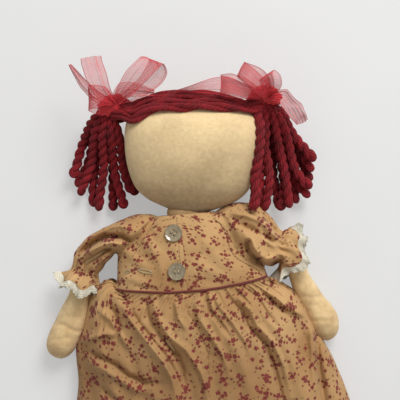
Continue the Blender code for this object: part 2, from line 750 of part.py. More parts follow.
def tube(points, radii, sides):
    """A solid tube through the points, its end drawn in to look trimmed."""
    rings = []
    up = AXIS_Z
    for i, (point, radius) in enumerate(zip(points, radii)):
        tangent = (points[min(i + 1, len(points) - 1)] - points[max(i - 1, 0)]).normalized()
        across = tangent.cross(up).normalized()
        up = across.cross(tangent)
        rings.append(oval(point, across, up, radius, radius, sides))
    return loft(rings)


def strand_points(tie, level, root, tip, length, floor_z):
    """A strand that leaves its tie along one heading and comes to hang along another."""
    points = []
    for ring in range(YARN_RINGS):
        share = ring / (YARN_RINGS - 1)
        reach = KNOT_RADIUS + SEAM_GAP * 3 + (length - KNOT_RADIUS) * share
        swing = math.radians(tip + (root - tip) * (1 - share) ** 2)
        start_z = tie.z + KNOT_HALF_HEIGHT * level
        z = start_z + (floor_z - start_z) * ease_in(share * 1.8)
        points.append(Vector((tie.x + reach * math.cos(swing), tie.y + reach * math.sin(swing), z)))
    return points


def strand_radii(path, others):
    """The yarn's thickness along a strand, squeezed where its neighbours leave less room."""
    radii = []
    for point in path:
        room = min(nearest_gap(point, other) for other in others if other is not path)
        radii.append(min(YARN_RADIUS, room / 2 - SEAM_GAP))
    return radii


def make_pigtail(side, swing_axis, tie, layers):
    paths = []
    for depth, (level, strands) in enumerate(reversed(layers)):
        floor_z = LOWEST_STRAND_Z + LAYER_STEP * depth
        for root, tip, length in strands:
            paths.append(strand_points(tie, level, root, tip, PIGTAIL_LENGTH * length, floor_z))
    for i, path in enumerate(paths):
        radii = strand_radii(path, paths)
        radii[-1] *= YARN_END_SHARE
        name = f"pigtail_{side}_strand_{i + 1:02d}"
        finish(name, tube(path, radii, YARN_SIDES), ("yarn", YARN), swing_axis)


def nearest_gap(point, path):
    """How near a point comes to the middle of another strand."""
    best = math.inf
    for a, b in zip(path, path[1:]):
        run = b - a
        share = min(max((point - a).dot(run) / run.length_squared, 0), 1)
        best = min(best, (a + run * share - point).length)
    return best


def crown_row(x, head, skin):
    """Where each crown strand crosses the plane at X, lying on the head."""
    place = head.matrix_world.translation
    middle = Vector((x, head_centre().y, HEAD_HALF_DEPTH)) - place
    row = []
    for k in range(CROWN_STRANDS):
        angle = CROWN_FRONT + (CROWN_BACK - CROWN_FRONT) * k / (CROWN_STRANDS - 1)
        outward = Vector((0, math.sin(angle), math.cos(angle)))
        spot, normal, _, _ = skin.ray_cast(middle + outward * HEAD_HEIGHT, -outward)
        row.append(place + spot + normal * (YARN_RADIUS + SEAM_GAP * 2))
    return row


def tie_row(tie, x):
    """Where each crown strand ends, gathered in an arc beside its tie."""
    row = []
    for k in range(CROWN_STRANDS):
        angle = math.pi / 2 + CROWN_TIE_SPREAD * (k / (CROWN_STRANDS - 1) - 0.5)
        arc = Vector((0, math.sin(angle), math.cos(angle)))
        row.append(Vector((x, tie.y, tie.z)) + arc * CROWN_TIE_RADIUS)
    return row


def smooth_path(points, count):
    """Evenly spaced places on a smooth curve through the points."""
    runs = len(points) - 1
    path = []
    for i in range(count):
        place = runs * i / (count - 1)
        start = min(int(place), runs - 1)
        before, after = max(start - 1, 0), min(start + 2, runs)
        part = place - start
        a, b, c, d = points[before], points[start], points[start + 1], points[after]
        bend = (a * 2 - b * 5 + c * 4 - d) * part**2 + (b * 3 - a - c * 3 + d) * part**3
        path.append(b + ((c - a) * part + bend) / 2)
    return path


def clear_of_head(point, head, skin):
    """Moves a point of a strand outward until the yarn clears the head."""
    place = head.matrix_world.translation
    spot, normal, _, gap = skin.find_nearest(point - place)
    outward = point - place - spot
    inside = outward.dot(normal) < 0
    room = YARN_RADIUS + SEAM_GAP * 3
    if gap > room and not inside:
        return point
    return place + spot + normal * room


def make_crown(head, neck):
    bpy.context.view_layer.update()
    skin = BVHTree.FromObject(head, bpy.context.evaluated_depsgraph_get())
    reach = HEAD_HALF_WIDTH - YARN_RADIUS * 4
    inset = KNOT_RADIUS + SEAM_GAP
    ends = (tie_row(TIE_RIGHT, TIE_RIGHT.x + inset), tie_row(TIE_LEFT, TIE_LEFT.x - inset))
    rows = [[p + AXIS_X * YARN_RADIUS for p in ends[0]]]
    for station in range(CROWN_STATIONS - 2):
        share = 2 * station / (CROWN_STATIONS - 3) - 1
        rows.append(crown_row(head_centre().x + reach * share, head, skin))
    rows.append([p - AXIS_X * YARN_RADIUS for p in ends[1]])
    paths = []
    for k in range(CROWN_STRANDS):
        path = smooth_path([row[k] for row in rows], CROWN_RINGS)
        path[1:-1] = [clear_of_head(p, head, skin) for p in path[1:-1]]
        paths.append([ends[0][k], *path, ends[1][k]])
    for k, path in enumerate(paths):
        radii = strand_radii(path, paths)
        finish(f"crown_strand_{k + 1}", tube(path, radii, YARN_SIDES), ("yarn", YARN), neck)


def make_lobe(name, tie, order, lobe, carrier):
    kind, heading, length, half_width, rise = lobe
    length, half_width = BOW_LENGTH * length, BOW_HALF_WIDTH * half_width
    shares, thick = (LOOP_SHARES, LOOP_HALF_DEPTH) if kind == "loop" else (TAIL_SHARES, TAIL_HALF_DEPTH)
    forward, across, up = heading_frame(heading)
    base = tie + AXIS_Z * (KNOT_HALF_HEIGHT * (LOBE_LEVEL_SHARE + LOBE_STEP_SHARE * order))
    root = KNOT_RADIUS * LOBE_ROOT_SHARE
    rings = []
    for share, width, depth in shares:
        lift = BOW_RISE * rise * ease_in(share * 2)
        centre = base + forward * (root + (length - root) * share) + AXIS_Z * lift
        rings.append(oval(centre, across, up, half_width * width, thick * depth, LOBE_SIDES))
    return helper(finish(name, loft(rings), ("tulle", TULLE), carrier))


def make_bow(side, tie, lobes, carrier):
    """A knot round the hair's tie, joined to its loops and tails."""
    rings = []
    for level, width in KNOT_SHARES:
        size = (KNOT_RADIUS * width, KNOT_RADIUS * width, KNOT_SIDES)
        rings.append(oval(tie + AXIS_Z * (KNOT_HALF_HEIGHT * level), AXIS_X, AXIS_Y, *size))
    bow = finish(f"bow_{side}", loft(rings), ("tulle", TULLE), carrier)
    for i, lobe in enumerate(lobes):
        combine(bow, make_lobe(f"bow_{side}_{lobe[0]}_{i}", tie, i, lobe, carrier), "UNION")


def head_centre():
    lean = Matrix.Rotation(HEAD_LEAN, 3, "Z")
    return Vector((HEAD_SHIFT, NECK_Y, HEAD_HALF_DEPTH)) + lean @ AXIS_Y * (HEAD_HEIGHT / 2)


def main():
    clear_scene()
    body = pivot("body", Vector((0, 0, 0)))
    neck = pivot("neck", Vector((0, NECK_Y, TORSO_MIDDLE_Z)), body)
    hip_y = HIP_SEAM_Y - LEG_EDGE_RADIUS - SEAM_GAP
    make_torso(body)
    head = make_head(neck)
    panel = make_bodice(body)
    make_button("button_upper", BUTTON_UPPER_Y, panel, body)
    make_button("button_lower", BUTTON_LOWER_Y, panel, body)
    make_skirt(body)
    make_piping(body)
    make_crown(head, neck)
    sides = (
        ("left", 1, TIE_LEFT, PIGTAIL_LEFT_SHARES, BOW_LEFT_SHARES),
        ("right", -1, TIE_RIGHT, PIGTAIL_RIGHT_SHARES, BOW_RIGHT_SHARES),
    )
    for side, sign, tie, strands, lobes in sides:
        shoulder = pivot(f"shoulder_{side}", Vector((sign * SHOULDER_X, SHOULDER_Y, SHOULDER_Z)), body)
        if side == "left":
            make_arm(side, shoulder, ARM_LEFT_SHARES)
            make_sleeve(side, shoulder, SLEEVE_LEFT_SHARES, LACE_LEFT_HEADING)
        else:
            make_arm(side, shoulder, ARM_RIGHT_SHARES)
            make_sleeve(side, shoulder, SLEEVE_RIGHT_SHARES, LACE_RIGHT_HEADING)
        make_leg(side, pivot(f"hip_{side}", Vector((sign * LEG_X, hip_y, HIP_SEAM_Z)), body))
        make_bow(side, tie, lobes, neck)
        make_pigtail(side, pivot(f"tie_{side}", tie, neck), tie, strands)


main()
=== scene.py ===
"""Rag doll lying on its back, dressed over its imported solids: +Y is towards the head, +Z towards the face.

Left and right are the doll's own, so its left is +X. All lengths are in metres.
"""

import math
import random

import bmesh
import bpy
import numpy as np
from mathutils import Matrix, Vector, noise
from mathutils.bvhtree import BVHTree

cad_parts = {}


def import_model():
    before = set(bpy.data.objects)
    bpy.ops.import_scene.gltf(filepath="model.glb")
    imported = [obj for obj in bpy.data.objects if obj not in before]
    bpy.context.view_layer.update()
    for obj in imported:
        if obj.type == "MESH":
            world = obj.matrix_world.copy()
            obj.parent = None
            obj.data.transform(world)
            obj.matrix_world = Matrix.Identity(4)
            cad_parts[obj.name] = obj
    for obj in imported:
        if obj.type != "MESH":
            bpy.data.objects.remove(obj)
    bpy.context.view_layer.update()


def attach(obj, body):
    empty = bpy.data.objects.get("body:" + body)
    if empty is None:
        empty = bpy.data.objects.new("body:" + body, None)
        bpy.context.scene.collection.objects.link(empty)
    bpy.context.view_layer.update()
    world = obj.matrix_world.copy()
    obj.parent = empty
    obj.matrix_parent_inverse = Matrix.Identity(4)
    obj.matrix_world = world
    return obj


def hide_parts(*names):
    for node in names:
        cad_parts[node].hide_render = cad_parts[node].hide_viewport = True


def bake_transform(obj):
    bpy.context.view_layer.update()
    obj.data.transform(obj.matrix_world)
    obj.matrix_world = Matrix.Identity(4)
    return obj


MM = 0.001
CLOTH = 0.0007
NECK_Y = 0.130
TORSO_Z = 0.0245
HIP_Y = -0.004
HIP_Z = 0.019
WAIST_Y = 0.071
NECKLINE_Y = 0.1275
BACK_NECKLINE_Y = 0.1275
PLACKET_X = -0.004
NECK_HALF_WIDTH = 0.0148
NECK_HALF_DEPTH = 0.0088
HEAD_X = 0.0038
HEAD_Z = 0.0285
HEAD_HEIGHT = 0.0864
HEAD_HALF_WIDTH = 0.0525
HEAD_HALF_DEPTH = 0.029
HEAD_LEAN = -7
LEG_X = 0.024
LEG_START_Y = -0.0043
TIE_LEFT = np.array((0.0680, 0.2100, 0.0300))
TIE_RIGHT = np.array((-0.0500, 0.2130, 0.0300))
KNOT_RADIUS = 0.0075
YARN_RADIUS = 0.0034
THINNEST_YARN = 0.0024
PIGTAIL_LENGTH = 0.082
SKIRT_TOP_Y = 0.0692
SKIRT_LENGTH = 0.194
WAIST_SEAM = 0.0022
BUTTON_RADIUS = 0.0065
BUTTON_THICK = 0.0021
# The dress over the torso: how far each panel stands off it, how far it reaches, and how square it is
UNDER_LIFT = 0.0014
TOP_LIFT = 0.0032
BACK_LIFT = 0.0013
DRESS_REACH = 0.0028
DRESS_SQUARENESS = 2.3

# Each row: share of the way from hip seam to neck, half width, half depth, share of rise to the middle
TORSO_ROWS = (
    (0.00, 0.0420, 0.0012, 0.0),
    (0.10, 0.0460, 0.0090, 0.30),
    (0.22, 0.0495, 0.0172, 0.75),
    (0.38, 0.0500, 0.0205, 1.00),
    (0.56, 0.0465, 0.0197, 1.00),
    (0.70, 0.0430, 0.0201, 1.00),
    (0.80, 0.0410, 0.0184, 1.00),
    (0.87, 0.0375, 0.0156, 1.00),
    (0.92, 0.0240, 0.0117, 1.00),
    (0.955, 0.0150, 0.0090, 1.00),
    (1.00, 0.0148, 0.0088, 1.00),
)
# Each row: share of the head's height, of its half width, of its half depth
HEAD_ROWS = (
    (-0.022, 0.02, 0.02),
    (-0.015, 0.23, 0.24),
    (0.004, 0.29, 0.33),
    (0.045, 0.47, 0.42),
    (0.10, 0.66, 0.56),
    (0.20, 0.83, 0.74),
    (0.38, 0.95, 0.94),
    (0.58, 1.00, 1.00),
    (0.76, 0.985, 0.90),
    (0.88, 0.86, 0.70),
    (0.95, 0.64, 0.50),
    (0.985, 0.38, 0.30),
    (1.000, 0.02, 0.01),
)
# Each row: X, Y, heading in degrees, half width, half depth, height of the middle
ARM_LEFT_ROWS = (
    (0.0480, 0.1100, 2, 0.0090, 0.0090, 0.0235),
    (0.0580, 0.1085, -8, 0.0086, 0.0078, 0.0223),
    (0.0680, 0.0990, -42, 0.0076, 0.0074, 0.0205),
    (0.0765, 0.0895, -62, 0.0079, 0.0083, 0.0181),
    (0.0814, 0.0800, -72, 0.0077, 0.0088, 0.0161),
    (0.0838, 0.0700, -68, 0.0079, 0.0093, 0.0141),
    (0.0890, 0.0565, -62, 0.0098, 0.0102, 0.0123),
    (0.0930, 0.0480, -60, 0.0104, 0.0104, 0.0116),
    (0.0962, 0.0425, -60, 0.0113, 0.0113, 0.0113),
    (0.0998, 0.0345, -68, 0.0117, 0.0118, 0.0113),
    (0.1010, 0.0265, -82, 0.0098, 0.0100, 0.0110),
    (0.1013, 0.0215, -86, 0.0058, 0.0060, 0.0105),
    (0.1014, 0.0192, -88, 0.0004, 0.0004, 0.0100),
)
ARM_RIGHT_ROWS = (
    (-0.0480, 0.1100, 178, 0.0090, 0.0090, 0.0235),
    (-0.0580, 0.1105, -168, 0.0086, 0.0078, 0.0223),
    (-0.0705, 0.1040, -140, 0.0081, 0.0079, 0.0205),
    (-0.0795, 0.0930, -122, 0.0079, 0.0083, 0.0181),
    (-0.0850, 0.0810, -112, 0.0079, 0.0088, 0.0161),
    (-0.0888, 0.0710, -110, 0.0083, 0.0093, 0.0141),
    (-0.0940, 0.0585, -112, 0.0108, 0.0102, 0.0123),
    (-0.0978, 0.0500, -112, 0.0120, 0.0104, 0.0116),
    (-0.1022, 0.0430, -106, 0.0122, 0.0113, 0.0113),
    (-0.1055, 0.0360, -98, 0.0121, 0.0118, 0.0113),
    (-0.1070, 0.0300, -94, 0.0102, 0.0100, 0.0110),
    (-0.1073, 0.0255, -92, 0.0060, 0.0060, 0.0105),
    (-0.1074, 0.0232, -91, 0.0004, 0.0004, 0.0100),
)
# Each row: distance from the hip, half width, half depth, height of the middle
LEG_ROWS = (
    (0.000, 0.0160, 0.0006, 0.0190),
    (0.004, 0.0174, 0.0022, 0.0190),
    (0.0136, 0.0172, 0.0080, 0.0190),
    (0.0316, 0.0175, 0.0148, 0.0190),
    (0.0678, 0.0175, 0.0172, 0.0190),
    (0.1040, 0.0165, 0.0163, 0.0185),
    (0.1266, 0.0158, 0.0155, 0.0180),
    (0.1582, 0.0147, 0.0145, 0.0173),
    (0.1898, 0.0123, 0.0121, 0.0156),
    (0.2034, 0.0126, 0.0128, 0.0142),
    (0.2124, 0.0136, 0.0182, 0.0180),
    (0.2204, 0.0133, 0.0192, 0.0190),
    (0.2248, 0.0098, 0.0148, 0.0190),
    (0.2263, 0.0004, 0.0005, 0.0187),
)
# Places along the lower edge of the yarn over the forehead, in millimetres
HAIRLINE = (
    (-50, 193.5), (-40, 199.5), (-28, 205.4), (-16.5, 209.6), (-5, 209.6),
    (6, 208.4), (18, 208.4), (35, 206.3), (52, 203.2), (60, 199),
)
# Each row: X, Y, heading in degrees, half width, half depth, height of the middle, pleat depth
SLEEVE_LEFT_ROWS = (
    (0.0375, 0.1020, 40, 0.0300, 0.0200, 0.0235, 0.00),
    (0.0425, 0.1060, 30, 0.0285, 0.0212, 0.0235, 0.02),
    (0.0490, 0.1085, 19, 0.0262, 0.0216, 0.0235, 0.03),
    (0.0570, 0.1062, 5, 0.0238, 0.0200, 0.0224, 0.05),
    (0.0642, 0.1005, -3, 0.0188, 0.0160, 0.0210, 0.08),
    (0.0700, 0.0962, -8, 0.0118, 0.0112, 0.0200, 0.10),
    (0.0722, 0.0950, -16, 0.0150, 0.0140, 0.0190, 0.16),
    (0.0732, 0.0936, -22, 0.0176, 0.0156, 0.0184, 0.16),
    (0.0737, 0.0926, -26, 0.0188, 0.0160, 0.0182, 0.18),
)
SLEEVE_RIGHT_ROWS = (
    (-0.0364, 0.1134, 123.5, 0.0208, 0.0190, 0.0235, 0.00),
    (-0.0400, 0.1152, 134, 0.0204, 0.0203, 0.0235, 0.02),
    (-0.0460, 0.1160, 150, 0.0172, 0.0200, 0.0235, 0.03),
    (-0.0540, 0.1150, 166, 0.0128, 0.0186, 0.0230, 0.04),
    (-0.0632, 0.1104, 189, 0.0122, 0.0176, 0.0216, 0.05),
    (-0.0712, 0.1060, 206, 0.0124, 0.0162, 0.0200, 0.06),
    (-0.0780, 0.0990, 232, 0.0122, 0.0138, 0.0188, 0.08),
    (-0.0822, 0.0912, 250, 0.0098, 0.0106, 0.0180, 0.10),
    (-0.0840, 0.0875, 250, 0.0118, 0.0124, 0.0180, 0.16),
    (-0.0852, 0.0848, 249, 0.0140, 0.0140, 0.0180, 0.16),
    (-0.0858, 0.0832, 248, 0.0148, 0.0144, 0.0180, 0.18),
)
# How far each armhole seam leaves a straight line: places along it, then shifts in millimetres
ARMHOLE_LEFT = ((-1, -0.7, -0.35, 0.0, 0.3, 0.6, 1), (0, -1.5, -4.5, -3.6, -0.8, 1.5, 0))
ARMHOLE_RIGHT = ((-1, 0, 1), (0, -2, 0))
# Folds along the sleeves' upper sides: height, half width, then places, in millimetres
SLEEVE_FOLDS_LEFT = (
    (-5.0, 2.6, ((46, 108), (47, 100), (51, 92), (56, 86))),
    (3.0, 3.0, ((42, 112), (49, 104), (53, 95), (57, 89), (64, 89), (70, 91))),
    (2.6, 3.4, ((30, 126), (44, 124), (56, 118), (64, 108), (69, 102))),
    (-2.2, 2.6, ((38, 118), (50, 112), (60, 104), (68, 98))),
    (1.8, 2.4, ((52, 112), (60, 102), (67, 95))),
    (-1.8, 2.0, ((58, 124), (64, 114), (69, 104))),
    (-3.5, 3.0, ((58, 80), (64, 83), (70, 86))),
)
SLEEVE_FOLDS_RIGHT = (
    (2.6, 3.0, ((-40.5, 119.7), (-50.4, 124.1), (-59.4, 123.3), (-67.4, 120.1),
                (-76, 116.4), (-82.4, 109.9), (-86.9, 102.6))),
    (-4.6, 2.8, ((-36.3, 101), (-38.9, 108.7), (-50, 115.5), (-62.8, 116),
                 (-73.4, 111.4), (-81.4, 106), (-86.4, 99))),
    (2.8, 2.4, ((-48, 109), (-57.9, 111.6), (-64.4, 110.3), (-71.7, 107.7),
                (-80.3, 104.6), (-84.5, 99.9), (-86.4, 93.6))),
    (-4.2, 2.2, ((-56, 107), (-63.5, 105.7), (-72.9, 100.8), (-79.6, 98.1), (-83.8, 94))),
    (1.8, 2.4, ((-58.8, 101.5), (-68.1, 97.8), (-73.6, 93.1), (-75.3, 88.8))),
    (1.8, 2.2, ((-34, 122), (-37, 112), (-39, 101.6), (-41, 98))),
    (-1.6, 2.2, ((-28, 124), (-31, 112), (-35, 102))),
)
# The dress over the chest: height on the doll, half width and half depth
BODICE_ROWS = (
    (0.0980, 0.0424, 0.0191),
    (0.1040, 0.0416, 0.0186),
    (0.1100, 0.0396, 0.0176),
    (0.1160, 0.0350, 0.0164),
    (0.1225, 0.0266, 0.0146),
    (0.1280, 0.0190, 0.0126),
)
# The dress hangs wider on the doll's right: height on the doll, then how far it reaches
BODICE_SIDE = (
    (0.0710, 0.0572),
    (0.0800, 0.0565),
    (0.0900, 0.0556),
    (0.1000, 0.0546),
    (0.1060, 0.0530),
    (0.1120, 0.0465),
    (0.1180, 0.0365),
    (0.1280, 0.0190),
)
# Creases of the bodice's front: height, half width, then places, in millimetres
BODICE_FOLDS_RIGHT = (
    (1.6, 3.5, ((-52, 108), (-42, 98), (-32, 90))),
    (-1.4, 3.0, ((-46, 112), (-36, 101), (-28, 92))),
    (1.3, 3.0, ((-38, 118), (-28, 106), (-22, 92), (-20, 76))),
    (-1.1, 2.5, ((-30, 120), (-22, 108), (-15, 98))),
    (1.2, 3.0, ((-54, 84), (-40, 80), (-26, 76))),
    (-1.0, 2.2, ((-44, 76), (-30, 73), (-16, 71))),
    (0.9, 2.5, ((-12, 108), (-8, 98), (-9, 90))),
)
BODICE_FOLDS_LEFT = (
    (1.2, 4.0, ((6, 120), (14, 104), (26, 88), (40, 78))),
    (-1.0, 3.0, ((20, 124), (26, 110), (33, 96), (44, 86))),
    (1.0, 3.0, ((4, 92), (16, 84), (30, 76))),
    (-0.8, 2.5, ((2, 80), (14, 76), (26, 73))),
)
# Each row: share of the skirt's length, half width, height of the front, height of the edge, fold, drift
SKIRT_ROWS = (
    (0.00, 0.0568, 0.0480, 0.0158, 0.10, 0.0000),
    (0.03, 0.0665, 0.0485, 0.0128, 0.35, -0.0005),
    (0.06, 0.0750, 0.0488, 0.0110, 0.45, -0.0015),
    (0.09, 0.0812, 0.0490, 0.0094, 0.50, -0.0015),
    (0.17, 0.0905, 0.0485, 0.0075, 0.60, -0.0005),
    (0.23, 0.0955, 0.0475, 0.0071, 0.70, 0.0000),
    (0.28, 0.0970, 0.0468, 0.0070, 0.70, 0.0010),
    (0.38, 0.1015, 0.0451, 0.0068, 0.80, 0.0050),
    (0.56, 0.1105, 0.0437, 0.0068, 0.90, 0.0060),
    (0.78, 0.1145, 0.0427, 0.0068, 1.00, 0.0050),
    (1.00, 0.1172, 0.0427, 0.0071, 1.20, 0.0050),
)
# The main folds, from the doll's right to its left: how far each rises or sinks, as a share of a fold
SKIRT_FOLD_RISES = (-0.9, 0.9, -0.8, 1.0, -0.8, -0.7, 0.9, -0.9, 1.0, -0.9, 0.8)
# Each row: share of the skirt's length, then where each fold lies, in half widths from the middle
SKIRT_FOLD_PLACES = np.array((
    (0.00, -1.00, -0.97, -0.93, -0.90, -0.62, -0.09, 0.14, 0.42, 0.60, 0.73, 0.88),
    (0.12, -0.94, -0.87, -0.69, -0.53, -0.37, 0.00, 0.22, 0.46, 0.62, 0.76, 0.92),
    (0.26, -0.91, -0.74, -0.52, -0.28, -0.15, 0.08, 0.31, 0.56, 0.69, 0.84, 0.94),
    (0.56, -0.85, -0.63, -0.43, -0.20, -0.10, 0.03, 0.30, 0.51, 0.66, 0.78, 0.89),
    (1.00, -0.85, -0.68, -0.45, -0.27, -0.09, 0.06, 0.32, 0.52, 0.71, 0.81, 0.91),
))
# The skirt's centre seam, in millimetres
SKIRT_SEAM = ((6, -125), (5.3, -16), (5.7, -2), (7.1, 23), (1.1, 44), (-5.8, 55), (-5.5, 68))
# Creases of the skirt's front: height, half width, then the places that each runs through, in millimetres
SKIRT_FOLDS = (
    (2.2, 2.6, ((-55, 69), (-48.4, 54.4), (-38.7, 39.4), (-27.6, 22.7), (-21, 7.9), (-18, -12))),
    (-1.8, 2.2, ((-50, 62), (-42, 48), (-32, 33), (-22, 18), (-16, 2))),
    (-1.6, 2.2, ((-35.4, 68.3), (-35, 54.8), (-27.6, 40), (-14.9, 23.1), (-9.9, 8.5))),
    (1.8, 2.6, ((-30, 68), (-28, 54), (-19.9, 37.8), (-8.2, 27.3), (1.2, 9.1), (4, -3.8), (4, -20))),
    (-1.6, 2.0, ((-24.5, 39.7), (-17.9, 25), (-12.7, 11.9), (-12, -3.7))),
    (1.4, 2.2, ((-14, 67), (-12, 52), (-6, 40))),
    (1.7, 2.6, ((2, 66), (3, 50), (10, 38), (18, 22), (22, 4))),
    (-1.5, 2.2, ((8, 67), (12, 54), (20, 42), (28, 28))),
    (1.4, 2.2, ((15, 68), (20, 56), (28, 44), (36, 30), (40, 12))),
    (-2.0, 2.0, ((23.5, 65.5), (35.7, 51.8), (38.6, 40.5), (51.5, 25.2),
                 (57.4, 2.6), (60.4, -16.5), (62, -45))),
    (1.8, 2.6, ((30, 66), (42, 52), (46, 40), (57, 26), (64, 6), (67, -18))),
    (-1.6, 2.2, ((39.7, 70.4), (48.2, 60.2), (54.9, 47), (64, 34))),
    (2.4, 3.2, ((47, 72), (58, 63), (68, 54), (80, 44.8), (85, 41))),
    (-1.6, 2.4, ((52, 66), (62, 54), (72, 44))),
    (-2.2, 2.6, ((84, 47), (90, 37), (92.7, 27.9), (91.9, 4.3), (93.3, -19.4), (96, -50))),
    (1.6, 3.0, ((87, 36), (87, 20), (86, 0), (86, -24))),
    (2.6, 2.8, ((-91, 36), (-79.6, 40.6), (-68.3, 43.6), (-57.5, 41))),
    (-2.6, 2.8, ((-88, 31), (-74.6, 25.2), (-62.6, 17.9), (-53.9, 9.2), (-41.8, 3.4), (-29.3, 2.3))),
    (2.0, 3.4, ((-86, 22), (-72, 16), (-60, 8), (-50, 0), (-40, -4))),
    (1.6, 2.4, ((-74, 62), (-64, 54), (-56, 40), (-50, 28))),
    (-1.5, 2.4, ((-66, 66), (-60, 58), (-58, 46), (-62, 34))),
    (-1.6, 3.0, ((-80, 4), (-68, -6), (-58, -18), (-52, -34), (-50, -60))),
    (1.4, 3.4, ((-34, -30), (-30, -60), (-28, -90), (-30, -124))),
    (-1.4, 3.0, ((-12, -30), (-8, -60), (-8, -90), (-6, -124))),
    (1.4, 3.6, ((14, -40), (16, -70), (18, -100), (20, -124))),
    (1.4, 3.4, ((-70, -40), (-68, -70), (-70, -100), (-74, -124))),
    (1.4, 3.4, ((78, -60), (80, -90), (84, -124))),
    (-1.2, 3.0, ((40, -60), (42, -90), (44, -124))),
)
# Each layer: level on the knot, then its yarns: headings in degrees where each leaves the tie and where
# it ends, length, and how far it is raised in millimetres
PIGTAIL_LEFT = (
    (-0.50, ((-47, -65, 0.83, 0), (-63, -75.5, 0.97, 0), (-89, -88.5, 0.98, 4), (-122, -100, 0.97, 15))),
    (0.00, ((-40, -62, 0.76, 0), (-54, -71, 0.96, 0), (-81, -84, 1.00, 2), (-109, -96.5, 0.97, 13))),
    (0.50, ((-36, -57, 0.69, 0), (-52, -68.5, 0.89, 0), (-71, -80, 0.99, 0), (-98, -93, 0.99, 9),
            (-130, -104, 0.98, 24))),
)
PIGTAIL_RIGHT = (
    (-0.36, ((-162, -120, 0.76, 0), (-140, -107, 0.89, 0), (-112, -96, 0.90, 0), (-82, -79, 0.78, 0))),
    (0.36, ((-172, -129, 0.69, 0), (-150, -115, 0.81, 0), (-126, -103, 0.91, 0), (-100, -91, 0.88, 0),
            (-78, -83, 0.75, 2))),
)
# Each strip of a bow: its name, its seed and how much it is crumpled, then places along its middle in
# millimetres, with its heading in degrees and half width in millimetres there
BOW_RIGHT_STRIPS = (
    ("loop_up", 0, 1.0, (
        (-45.0, 215.7, 44, 50, 2.6), (-37.0, 224.0, 51, 55, 6.2), (-26.1, 234.4, 56, 61, 8.4),
        (-17.3, 241.9, 55, 69, 8.6), (-13.9, 243.9, 52, 69, 8.4), (-11.1, 239.3, 48, 47, 8.6),
        (-18.1, 230.6, 44, 37, 7.6), (-31.8, 221.5, 42, 35, 5.5), (-44.4, 215.8, 42, 40, 2.6))),
    ("tail_up", 1, 1.0, (
        (-45.7, 214.9, 45, 125, 2.6), (-52.7, 223.0, 52, 113, 6.2), (-56.7, 234.4, 54, 101, 7.6),
        (-59.3, 245.3, 52, 96, 7.8), (-60.0, 250.7, 51, 95, 7.7))),
    ("tail_side", 2, 1.0, (
        (-48.0, 215.9, 44, 145, 2.4), (-57.7, 220.9, 48, 137, 4.2), (-66.0, 229.1, 48, 123, 3.4),
        (-72.9, 239.8, 45, 120, 2.4), (-77.5, 247.4, 42, 118, 1.0))),
    ("loop_low", 3, 1.0, (
        (-46.4, 215.7, 45, 160, 2.6), (-52.3, 220.1, 51, 165, 6.8), (-59.5, 220.9, 53, 172, 8.8),
        (-63.8, 220.8, 51, 177, 9.2), (-64.7, 219.7, 47, 179, 9.0), (-60.9, 215.6, 43, 191, 7.5),
        (-53.0, 213.6, 41, 187, 5.5), (-46.0, 215.3, 41, 185, 2.6))),
    ("end_across", 5, 1.0, (
        (-47.2, 216.7, 43, 15, 2.6), (-41.9, 223.5, 46, 3, 6.0), (-33.5, 224.5, 47, -3, 6.2),
        (-23.9, 222.2, 47, -9, 4.2), (-15.8, 220.4, 46, -9, 2.6))),
)
BOW_LEFT_STRIPS = (
    ("loop_up", 6, 1.0, (
        (69.2, 211.0, 44, 125, 2.6), (66.1, 216.9, 54, 131, 7.2), (59.0, 224.3, 60, 141, 7.8),
        (52.5, 229.9, 58, 145, 6.4), (50.3, 231.8, 53, 145, 6.2), (56.7, 225.9, 48, 141, 6.8),
        (65.2, 217.3, 44, 133, 6.0), (68.6, 211.2, 42, 125, 2.6))),
    ("loop_over", 7, 1.0, (
        (69.2, 211.0, 44, 65, 2.6), (72.9, 217.3, 52, 69, 5.8), (73.2, 223.5, 56, 91, 6.4),
        (69.7, 225.4, 55, 119, 6.0), (68.5, 224.6, 50, 113, 5.2), (70.4, 217.5, 45, 85, 4.0),
        (69.3, 211.1, 42, 75, 2.6))),
    ("tail_across", 8, 1.0, (
        (64.6, 210.6, 44, 163, 2.6), (51.9, 214.9, 50, 166, 5.0), (39.6, 219.5, 52, 165, 7.0),
        (27.8, 221.6, 52, 167, 6.0), (15.8, 221.0, 50, 168, 3.6), (1.4, 220.0, 47, 170, 1.0))),
    ("loop_flat", 11, 1.0, (
        (64.7, 211.3, 44, 160, 2.6), (54.2, 216.7, 52, 167, 6.6), (43.3, 221.0, 55, 171, 7.7),
        (35.6, 221.9, 53, 173, 7.4), (34.6, 221.6, 50, 173, 7.2), (42.8, 219.8, 46, 171, 6.8),
        (56.0, 214.5, 43, 165, 5.0), (64.8, 210.8, 42, 160, 2.6))),
    ("tail_low", 9, 2.2, (
        (68.4, 210.3, 44, -5, 2.6), (77.6, 209.2, 50, -19, 5.0), (83.9, 204.6, 50, -51, 6.2),
        (88.2, 198.5, 47, -65, 6.4), (91.0, 192.5, 43, -71, 5.2), (93.2, 188.4, 40, -71, 4.6))),
)


def smooth(share):
    """A share from 0 to 1, eased at both ends."""
    share = np.clip(share, 0, 1)
    return share * share * (3 - 2 * share)


def flowing(rows, count):
    """Rows of numbers on a smooth curve through the given rows."""
    rows = np.array(rows, float)
    runs = len(rows) - 1
    places = np.linspace(0, runs, count)
    start = np.minimum(places.astype(int), runs - 1)
    t = (places - start)[:, None]
    a, b = rows[np.maximum(start - 1, 0)], rows[start]
    c, d = rows[start + 1], rows[np.minimum(start + 2, runs)]
    return b + 0.5 * t * ((c - a) + t * (2 * a - 5 * b + 4 * c - d + t * (3 * (b - c) + d - a)))


def at_share(rows, share):
    """The columns of a table at a share of its first column, on a smooth curve."""
    fine = flowing(rows, 240)
    return [np.interp(share, fine[:, 0], fine[:, i]) for i in range(1, fine.shape[1])]


